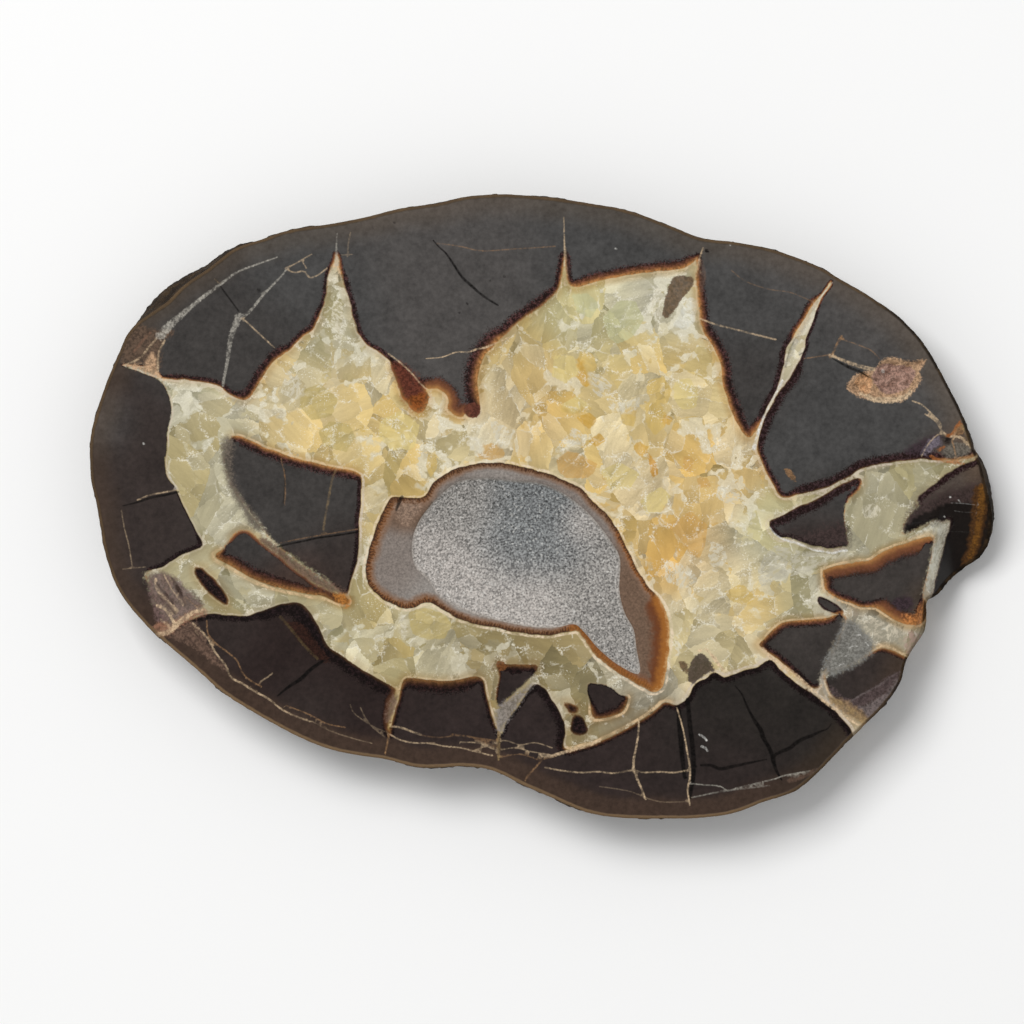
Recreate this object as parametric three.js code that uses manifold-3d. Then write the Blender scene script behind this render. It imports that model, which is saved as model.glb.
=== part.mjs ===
// A septarian nodule: a slab sawn from the stone and polished on its face, lying on its sawn back.
// Millimetres, +Z up, the origin under the middle of the slab.
import * as THREE from 'three';
import { mergeVertices } from 'three/addons/utils/BufferGeometryUtils.js';
import Module from 'manifold-3d';

const wasm = await Module();
wasm.setup();

// Driving dimensions
const slabThickness = 10;
const outlineSteps = 148; // points round the wall
const edgeBevel = 0.3; // the ground-off edge of the polished face
const wallRelief = 0.8; // how far the lumps of the rind stand in and out
const lumpLength = 5.2; // along the wall
const lumpHeight = 2.9; // up the wall
const hollowDepth = 2.6; // of the crystal-lined hollow, at its middle
const crustGap = 0.3; // between the crust and the stone it lines
const crustThickness = 0.8;
const crystalHeight = [0.35, 1.15]; // of the crystals' tips above the valleys between them
const crystalShake = 0.05; // how far the valleys stray from their rings, as a share of the hollow
const pocketDepth = 1.3; // of the rough pocket in the upper right
const chipDepth = 1.2; // of the broken pit at the right end

// The slab's outline from above, clockwise from its left end
const slabOutline = [
  [-62.5, 7.7], [-62.1, 10.5], [-61.2, 13.4], [-59.7, 17.5], [-58.2, 21], [-56.7, 24.6],
  [-53.8, 28.3], [-51, 30.9], [-46.8, 33.2], [-42.7, 35.7], [-38.5, 36.8], [-34.5, 38],
  [-29, 38.8], [-24.2, 39.8], [-19.5, 40.9], [-14, 41.7], [-9.9, 42.7], [-5.8, 42.9],
  [0.4, 42.5], [6.6, 41.7], [12.3, 40.5], [17.5, 38.6], [21.9, 36.9], [27.1, 36.3],
  [31.9, 35.2], [37, 33.4], [41.1, 31.2], [45.2, 28.8], [49.5, 25.7], [52.6, 22.1],
  [55.3, 17.5], [57.8, 12.8], [59.9, 8.3], [61.2, 6.1], [62.3, 1.6], [62.3, -2.5],
  [60.8, -6.5], [57.7, -8.8], [55.8, -10.5], [54.5, -12.1], [53, -12.9], [52.5, -16.9],
  [50.1, -21], [49.2, -24.2], [46.8, -27.6], [42.1, -32.1], [37.9, -36.6], [34.8, -39.1],
  [30.5, -40.6], [26.6, -42.1], [21.9, -42.8], [17.4, -42.9], [10.7, -42.8], [6, -42],
  [1.5, -40.1], [-2.5, -38.3], [-7, -36.2], [-11.1, -35.7], [-16.8, -35.8], [-21.8, -34.7],
  [-27.5, -33.8], [-33.2, -31.7], [-40, -28], [-44, -25.4], [-47.8, -22], [-51.8, -18.6],
  [-54.5, -16.2], [-58.2, -11.7], [-60.1, -7.1], [-61.6, 0.2], [-62.4, 3.6],
];

// Stretches where the wall leans out below the polished face: middle, reach along the wall, overhang
const flares = [
  { at: [-49.5, 32], reach: 7.5, overhang: 2 },
  { at: [-57, 24], reach: 5, overhang: 1 },
  { at: [-62, 2], reach: 16, overhang: 0.7 },
  { at: [62, 4], reach: 7, overhang: 1.1 },
];

// Heights up the wall, and how much of the rind's relief and of the flare's lean each one takes
const wallLevels = [
  { height: 0, relief: 0, lean: 0.25, inset: 0.5 },
  { height: 0.45, relief: 0.3, lean: 0.12, inset: 0.12 },
  { height: 2.3, relief: 1, lean: 0, inset: 0 },
  { height: 4.4, relief: 1, lean: 0.05, inset: 0 },
  { height: 6.5, relief: 1, lean: 0.35, inset: 0 },
  { height: 8.5, relief: 0.6, lean: 0.8, inset: 0 },
  { height: slabThickness - edgeBevel, relief: 0.1, lean: 1, inset: 0 },
  { height: slabThickness, relief: 0.1, lean: 1, inset: edgeBevel },
];

// The crystal-lined hollow in the grey core
const hollowOutline = [
  [-15.3, 0.2], [-13.6, 2], [-11.5, 3.5], [-7.9, 4], [-3.7, 3.6], [-0.1, 3.2], [2.7, 2],
  [5.8, -0.3], [8.1, -2.8], [9.6, -4.9], [10.7, -6.9], [10.7, -11.7], [11.4, -14.6],
  [12.6, -16.8], [13, -19.4], [13.4, -23], [10.8, -22], [7.8, -19.6], [5.8, -17.3],
  [4.5, -16.2], [2.2, -16.6], [-1.1, -16.6], [-5.5, -15.8], [-9.7, -14.6], [-12.3, -13.5],
  [-14.4, -12.1], [-15.9, -9.9], [-17.4, -8.4], [-17.9, -6.4], [-17.7, -3.9], [-16.8, -1.8],
];
const hollowMiddle = [1, -8];
const hollowSteps = 54;

// Rings of a hollow from its rim inwards: share of the outline, share of the depth
const hollowRings = [[1, 0], [0.965, 0.35], [0.88, 0.72], [0.68, 0.92], [0.38, 1]];

// The crust's rings of crystals from its rim inwards: share of the way to the rim, crystals round it
const crustShare = 0.965;
const crystalsRound = 56;
const crystalRings = [
  [0.94, 56], [0.84, 56], [0.74, 56], [0.63, 56], [0.52, 28], [0.41, 28], [0.29, 14], [0.15, 14],
];

const pocketOutline = [
  [46.4, 20.1], [49, 20.3], [53.2, 19.9], [51.9, 18.4], [52.2, 17.6], [51, 16], [50, 14.7],
  [47.4, 14.1], [44.7, 14.7], [42.6, 15.5], [41.5, 16.6], [42.5, 17.3], [43.8, 18.6], [45.5, 18.5],
];
const chipOutline = [
  [49.6, -3], [52.3, -2.2], [54, -2], [56.6, -2.1], [55.6, -3.6], [53.7, -4.2], [51.4, -4.1],
  [49.7, -4.2],
];

// Planes that the broken right end falls away along: a point on the upper edge, the edge's bearing
// and the slope below it, in degrees
const breakPlanes = {
  shoulder: { at: [56, 3.2], bearing: 19, slope: 13 },
  facet: { at: [56, 1.2], bearing: 19, slope: 33 },
  step: { at: [52.9, -8], bearing: 78, slope: 58 },
};

const layDegrees = THREE.MathUtils.degToRad;

// A repeatable number from 0 to 1 for a whole-number pair
function scatter(i, j) {
  let n = Math.imul(i | 0, 374761393) + Math.imul(j | 0, 668265263);
  n = Math.imul(n ^ (n >>> 13), 1274126177);
  return ((n ^ (n >>> 16)) >>> 0) / 4294967296;
}

// Smooth lumps: scattered numbers on a grid, blended, wrapping every `around` cells in u
function lumps(u, v, around) {
  const i = Math.floor(u);
  const j = Math.floor(v);
  const a = THREE.MathUtils.smoothstep(u - i, 0, 1);
  const b = THREE.MathUtils.smoothstep(v - j, 0, 1);
  const pick = (di, dj) => scatter((i + di) % around, j + dj) * 2 - 1;
  const low = THREE.MathUtils.lerp(pick(0, 0), pick(1, 0), a);
  const high = THREE.MathUtils.lerp(pick(0, 1), pick(1, 1), a);
  return THREE.MathUtils.lerp(low, high, b);
}

// Evenly spaced points on the smooth closed curve through a list of corners, counter-clockwise
function closedCurve(corners, steps) {
  const curve = new THREE.CatmullRomCurve3(
    corners.map(([x, y]) => new THREE.Vector3(x, y, 0)), true, 'centripetal');
  const points = curve.getSpacedPoints(steps).slice(0, steps);
  const flat = points.map((p) => new THREE.Vector2(p.x, p.y));
  return THREE.ShapeUtils.area(flat) < 0 ? flat.reverse() : flat;
}

// The way out of a counter-clockwise curve at each of its points
function outwardAt(points, i) {
  const before = points[(i + points.length - 2) % points.length];
  const after = points[(i + 2) % points.length];
  return new THREE.Vector2(after.y - before.y, before.x - after.x).normalize();
}

// Closed mesh through a stack of rings, flat-capped at both ends, rings counter-clockwise going up
function stackRings(rings) {
  const steps = rings[0].length;
  const vertices = rings.flat().flatMap((p) => [p.x, p.y, p.z]);
  const faces = [];
  for (let k = 0; k + 1 < rings.length; k += 1) {
    for (let i = 0; i < steps; i += 1) {
      const a = k * steps + i;
      const b = k * steps + ((i + 1) % steps);
      faces.push(a, b, b + steps, a, b + steps, a + steps);
    }
  }
  const top = (rings.length - 1) * steps;
  const capOf = (ring) => THREE.ShapeUtils.triangulateShape(
    ring.map((p) => new THREE.Vector2(p.x, p.y)), []);
  capOf(rings[0]).forEach(([a, b, c]) => faces.push(c, b, a));
  capOf(rings[rings.length - 1]).forEach(([a, b, c]) => faces.push(top + a, top + b, top + c));
  return meshFrom(vertices, faces);
}

function meshFrom(vertices, faces) {
  const geometry = new THREE.BufferGeometry();
  geometry.setAttribute('position', new THREE.Float32BufferAttribute(vertices, 3));
  geometry.setIndex(faces);
  return geometry;
}

function solidFrom(geometry) {
  const bare = geometry.clone();
  bare.deleteAttribute('normal');
  bare.deleteAttribute('uv');
  const merged = mergeVertices(bare, 1e-5);
  return new wasm.Manifold(new wasm.Mesh({
    numProp: 3,
    vertProperties: new Float32Array(merged.attributes.position.array),
    triVerts: new Uint32Array(merged.index.array),
  }));
}

function geometryFrom(solid) {
  const mesh = solid.getMesh();
  return meshFrom(Array.from(mesh.vertProperties), Array.from(mesh.triVerts));
}

// How far the polished face stands back from the outline at a point of it
function leanAt(point) {
  return flares.reduce((sum, { at, reach, overhang }) => {
    const away = Math.hypot(point.x - at[0], point.y - at[1]) / reach;
    return sum + overhang * Math.exp(-away * away);
  }, 0);
}

// The sawn slab: the outline stacked up the wall, with the rind's lumps and the lean of the wall
function slabBody() {
  const points = closedCurve(slabOutline, outlineSteps);
  const outward = points.map((p, i) => outwardAt(points, i));
  const length = points.reduce((sum, p, i) => sum + p.distanceTo(points[(i + 1) % outlineSteps]), 0);
  const around = Math.round(length / lumpLength);
  const rings = wallLevels.map(({ height, relief, lean, inset }) => points.map((p, i) => {
    const u = (i / outlineSteps) * around;
    const large = lumps(u, height / lumpHeight + 3, around);
    const small = lumps(u * 2, height / lumpHeight * 2 + 11, around * 2);
    const bump = wallRelief * relief * (Math.min(large, 0.25) + 0.4 * small - 0.25);
    const out = bump - lean * leanAt(p) - inset;
    return new THREE.Vector3(p.x + outward[i].x * out, p.y + outward[i].y * out, height);
  }));
  return stackRings(rings);
}

// The rings of a hollow's floor: the outline drawn in towards its middle, and sunk below the face
function floorRings(outline, middle, depth, rings, steps, roughness) {
  const points = closedCurve(outline, steps);
  return rings.map(([share, deep], k) => points.map((p, i) => {
    const rough = 1 + roughness * (scatter(i, k + 40) - 0.5) * (k > 0 ? 1 : 0);
    return new THREE.Vector3(
      middle[0] + (p.x - middle[0]) * share,
      middle[1] + (p.y - middle[1]) * share,
      slabThickness - depth * deep * rough);
  }));
}

// A solid that cuts such a hollow: its floor rings from the lowest up, and a ring above the face
function hollowCutter(floor) {
  const above = floor[0].map((p) => new THREE.Vector3(p.x, p.y, slabThickness + 1));
  return stackRings([...floor].reverse().concat([above]));
}

// Everything above a plane that falls away from a line on the face
function aboveBreak({ at, bearing, slope }) {
  const reach = 60;
  const block = new THREE.BoxGeometry(reach, reach, reach);
  block.translate(0, -reach / 2, reach / 2);
  block.rotateX(layDegrees(slope));
  block.rotateZ(layDegrees(bearing));
  block.translate(at[0], at[1], slabThickness);
  return solidFrom(block);
}

// Depth of the hollow, as a share of the full depth, at a share of the way to its rim
function depthShare(share) {
  const rings = hollowRings;
  if (share <= rings[rings.length - 1][0]) return 1;
  const k = rings.findIndex(([s]) => s <= share);
  if (k <= 0) return 0;
  const t = (rings[k - 1][0] - share) / (rings[k - 1][0] - rings[k][0]);
  return THREE.MathUtils.lerp(rings[k - 1][1], rings[k][1], t);
}

// The crust: a sheet that follows the hollow's floor, its upper side a ring-by-ring paving of crystals,
// each a tip over a flat-sided cell
function crustBody() {
  const points = closedCurve(hollowOutline, crystalsRound);
  const vertices = [];
  const faces = [];
  const place = (p, share, lift) => {
    const reach = share * crustShare;
    const sunk = slabThickness - hollowDepth * depthShare(share) + crustGap;
    const [mx, my] = hollowMiddle;
    vertices.push(mx + (p.x - mx) * reach, my + (p.y - my) * reach, sunk + lift);
    return vertices.length / 3 - 1;
  };
  const shake = (i, k, size) => (scatter(i + 19, k * 7 + 5) - 0.5) * size;

  // underside
  const under = hollowRings.slice(1).map(([share]) => points.map((p) => place(p, share, 0)));
  under.slice(1).forEach((inner, k) => {
    const outer = under[k];
    inner.forEach((q, i) => {
      const next = (i + 1) % inner.length;
      faces.push(outer[i], q, inner[next], outer[i], inner[next], outer[next]);
    });
  });
  const innermost = under[under.length - 1];
  const capOutline = innermost.map((v) => new THREE.Vector2(vertices[v * 3], vertices[v * 3 + 1]));
  THREE.ShapeUtils.triangulateShape(capOutline, []).forEach(([a, b, c]) => {
    faces.push(innermost[c], innermost[b], innermost[a]);
  });

  // valleys between the crystals
  const valleys = crystalRings.map(([share, count], k) => {
    const stride = crystalsRound / count;
    return Array.from({ length: count }, (_, i) => {
      const p = points[i * stride];
      if (k === 0) return place(p, share, crustThickness * 0.4);
      const drift = points[(i * stride + Math.floor(stride / 2) + 1) % crystalsRound];
      const moved = p.clone().lerp(drift, 0.25 + shake(i, k, 0.5));
      const shift = share + shake(i, k + 30, crystalShake);
      return place(moved, shift, crustThickness + shake(i, k + 60, 0.3));
    });
  });
  const rim = under[0];
  const upper = valleys[0];
  rim.forEach((v, i) => {
    const next = (i + 1) % rim.length;
    faces.push(v, rim[next], upper[next], v, upper[next], upper[i]);
  });

  // one crystal over each cell: its tip stands over the cell's middle, off to one side
  const grow = (cell, i, k) => {
    const mean = [0, 1, 2].map((n) => cell.reduce((sum, v) => sum + vertices[v * 3 + n], 0) / cell.length);
    const corner = cell[Math.floor(scatter(i, k + 90) * cell.length)];
    const lean = 0.3 * scatter(i + 3, k + 11);
    const [x, y] = [0, 1].map((n) => THREE.MathUtils.lerp(mean[n], vertices[corner * 3 + n], lean));
    const height = THREE.MathUtils.lerp(crystalHeight[0], crystalHeight[1], scatter(i + 7, k + 23));
    vertices.push(x, y, Math.min(mean[2] + height, slabThickness - 0.15));
    const tip = vertices.length / 3 - 1;
    cell.forEach((v, n) => faces.push(tip, v, cell[(n + 1) % cell.length]));
  };
  valleys.slice(1).forEach((inner, k) => {
    const outer = valleys[k];
    const stride = outer.length / inner.length;
    inner.forEach((q, i) => {
      const along = Array.from({ length: stride + 1 }, (_, n) => outer[(i * stride + n) % outer.length]);
      grow([...along, inner[(i + 1) % inner.length], q], i, k);
    });
  });
  grow(valleys[valleys.length - 1], 1, crystalRings.length);
  return meshFrom(vertices, faces);
}

// The stone: the slab less its hollow, its rough pocket and its broken right end
function stoneBody() {
  const hollow = floorRings(hollowOutline, hollowMiddle, hollowDepth, hollowRings, hollowSteps, 0);
  const roughRings = [[1, 0], [0.86, 0.6], [0.5, 1]];
  const pocket = floorRings(pocketOutline, [47.2, 17.3], pocketDepth, roughRings, 22, 0.7);
  const chip = floorRings(chipOutline, [53.2, -3.1], chipDepth, roughRings, 14, 0.6);
  const step = aboveBreak(breakPlanes.step);
  const broken = aboveBreak(breakPlanes.shoulder).add(aboveBreak(breakPlanes.facet)).intersect(step);
  return geometryFrom(solidFrom(slabBody())
    .subtract(solidFrom(hollowCutter(hollow)))
    .subtract(solidFrom(hollowCutter(pocket)))
    .subtract(solidFrom(hollowCutter(chip)))
    .subtract(broken));
}

function named(name, geometry, finish) {
  geometry.computeVertexNormals();
  const mesh = new THREE.Mesh(geometry, new THREE.MeshStandardMaterial(finish));
  mesh.name = name;
  return mesh;
}

const stone = named('nodule', stoneBody(), { color: 0x5a5248, roughness: 0.3, metalness: 0 });
const crust = named('druse', crustBody(), { color: 0x96938e, roughness: 0.35, metalness: 0 });

// Stand the slab over the middle of its own box
const box = new THREE.Box3().setFromObject(stone);
const middle = box.getCenter(new THREE.Vector3());
const septarianNodule = new THREE.Group();
[stone, crust].forEach((mesh) => {
  mesh.position.set(-middle.x, -middle.y, -box.min.z);
  septarianNodule.add(mesh);
});

export default septarianNodule;
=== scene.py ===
# A septarian nodule: a slab sawn from the stone and polished on its face, with a crystal-lined hollow.
# Sizes are millimetres until a mesh is made.
import math

import bpy
import numpy as np
from mathutils.geometry import delaunay_2d_cdt
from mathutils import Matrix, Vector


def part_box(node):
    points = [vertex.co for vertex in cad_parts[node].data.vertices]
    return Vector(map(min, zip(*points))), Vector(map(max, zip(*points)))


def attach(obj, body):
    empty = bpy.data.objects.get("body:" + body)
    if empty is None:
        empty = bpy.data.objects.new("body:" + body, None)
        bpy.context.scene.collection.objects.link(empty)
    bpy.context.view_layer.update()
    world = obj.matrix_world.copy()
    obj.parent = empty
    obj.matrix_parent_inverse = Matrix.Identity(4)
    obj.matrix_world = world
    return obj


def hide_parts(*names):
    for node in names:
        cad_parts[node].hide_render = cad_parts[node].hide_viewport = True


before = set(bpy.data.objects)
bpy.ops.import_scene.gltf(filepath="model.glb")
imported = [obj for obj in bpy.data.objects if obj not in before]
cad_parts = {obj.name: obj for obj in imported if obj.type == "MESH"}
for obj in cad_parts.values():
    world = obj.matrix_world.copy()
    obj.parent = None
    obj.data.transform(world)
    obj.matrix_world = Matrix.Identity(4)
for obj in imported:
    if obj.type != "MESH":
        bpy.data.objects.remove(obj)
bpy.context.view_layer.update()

metre = 0.001  # one millimetre in metres

seedNumber = 23
chunk = 2500  # points measured at a time, to save memory

# The slab's outline from above, clockwise from its left end
slabOutline = [
    (-62.5, 7.7), (-62.1, 10.5), (-61.2, 13.4), (-59.7, 17.5), (-58.2, 21), (-56.7, 24.6),
    (-53.8, 28.3), (-51, 30.9), (-46.8, 33.2), (-42.7, 35.7), (-38.5, 36.8), (-34.5, 38), (-29, 38.8),
    (-24.2, 39.8), (-19.5, 40.9), (-14, 41.7), (-9.9, 42.7), (-5.8, 42.9), (0.4, 42.5), (6.6, 41.7),
    (12.3, 40.5), (17.5, 38.6), (21.9, 36.9), (27.1, 36.3), (31.9, 35.2), (37, 33.4), (41.1, 31.2),
    (45.2, 28.8), (49.5, 25.7), (52.6, 22.1), (55.3, 17.5), (57.8, 12.8), (59.9, 8.3), (61.2, 6.1),
    (62.3, 1.6), (62.3, -2.5), (60.8, -6.5), (57.7, -8.8), (55.8, -10.5), (54.5, -12.1), (53, -12.9),
    (52.5, -16.9), (50.1, -21), (49.2, -24.2), (46.8, -27.6), (42.1, -32.1), (37.9, -36.6),
    (34.8, -39.1), (30.5, -40.6), (26.6, -42.1), (21.9, -42.8), (17.4, -42.9), (10.7, -42.8), (6, -42),
    (1.5, -40.1), (-2.5, -38.3), (-7, -36.2), (-11.1, -35.7), (-16.8, -35.8), (-21.8, -34.7),
    (-27.5, -33.8), (-33.2, -31.7), (-40, -28), (-44, -25.4), (-47.8, -22), (-51.8, -18.6),
    (-54.5, -16.2), (-58.2, -11.7), (-60.1, -7.1), (-61.6, 0.2), (-62.4, 3.6),
]
hollowMiddle = (1, -8)
hollowOutline = [
    (-15.3, 0.2), (-13.6, 2), (-11.5, 3.5), (-7.9, 4), (-3.7, 3.6), (-0.1, 3.2), (2.7, 2), (5.8, -0.3),
    (8.1, -2.8), (9.6, -4.9), (10.7, -6.9), (10.7, -11.7), (11.4, -14.6), (12.6, -16.8), (13, -19.4),
    (13.4, -23), (10.8, -22), (7.8, -19.6), (5.8, -17.3), (4.5, -16.2), (2.2, -16.6), (-1.1, -16.6),
    (-5.5, -15.8), (-9.7, -14.6), (-12.3, -13.5), (-14.4, -12.1), (-15.9, -9.9), (-17.4, -8.4),
    (-17.9, -6.4), (-17.7, -3.9), (-16.8, -1.8),
]
pocketOutline = [
    (46.4, 20.1), (49, 20.3), (53.2, 19.9), (51.9, 18.4), (52.2, 17.6), (51, 16), (50, 14.7),
    (47.4, 14.1), (44.7, 14.7), (42.6, 15.5), (41.5, 16.6), (42.5, 17.3), (43.8, 18.6), (45.5, 18.5),
]
chipOutline = [
    (49.6, -3), (52.3, -2.2), (54, -2), (56.6, -2.1), (55.6, -3.6), (53.7, -4.2), (51.4, -4.1),
    (49.7, -4.2),
]

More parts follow.
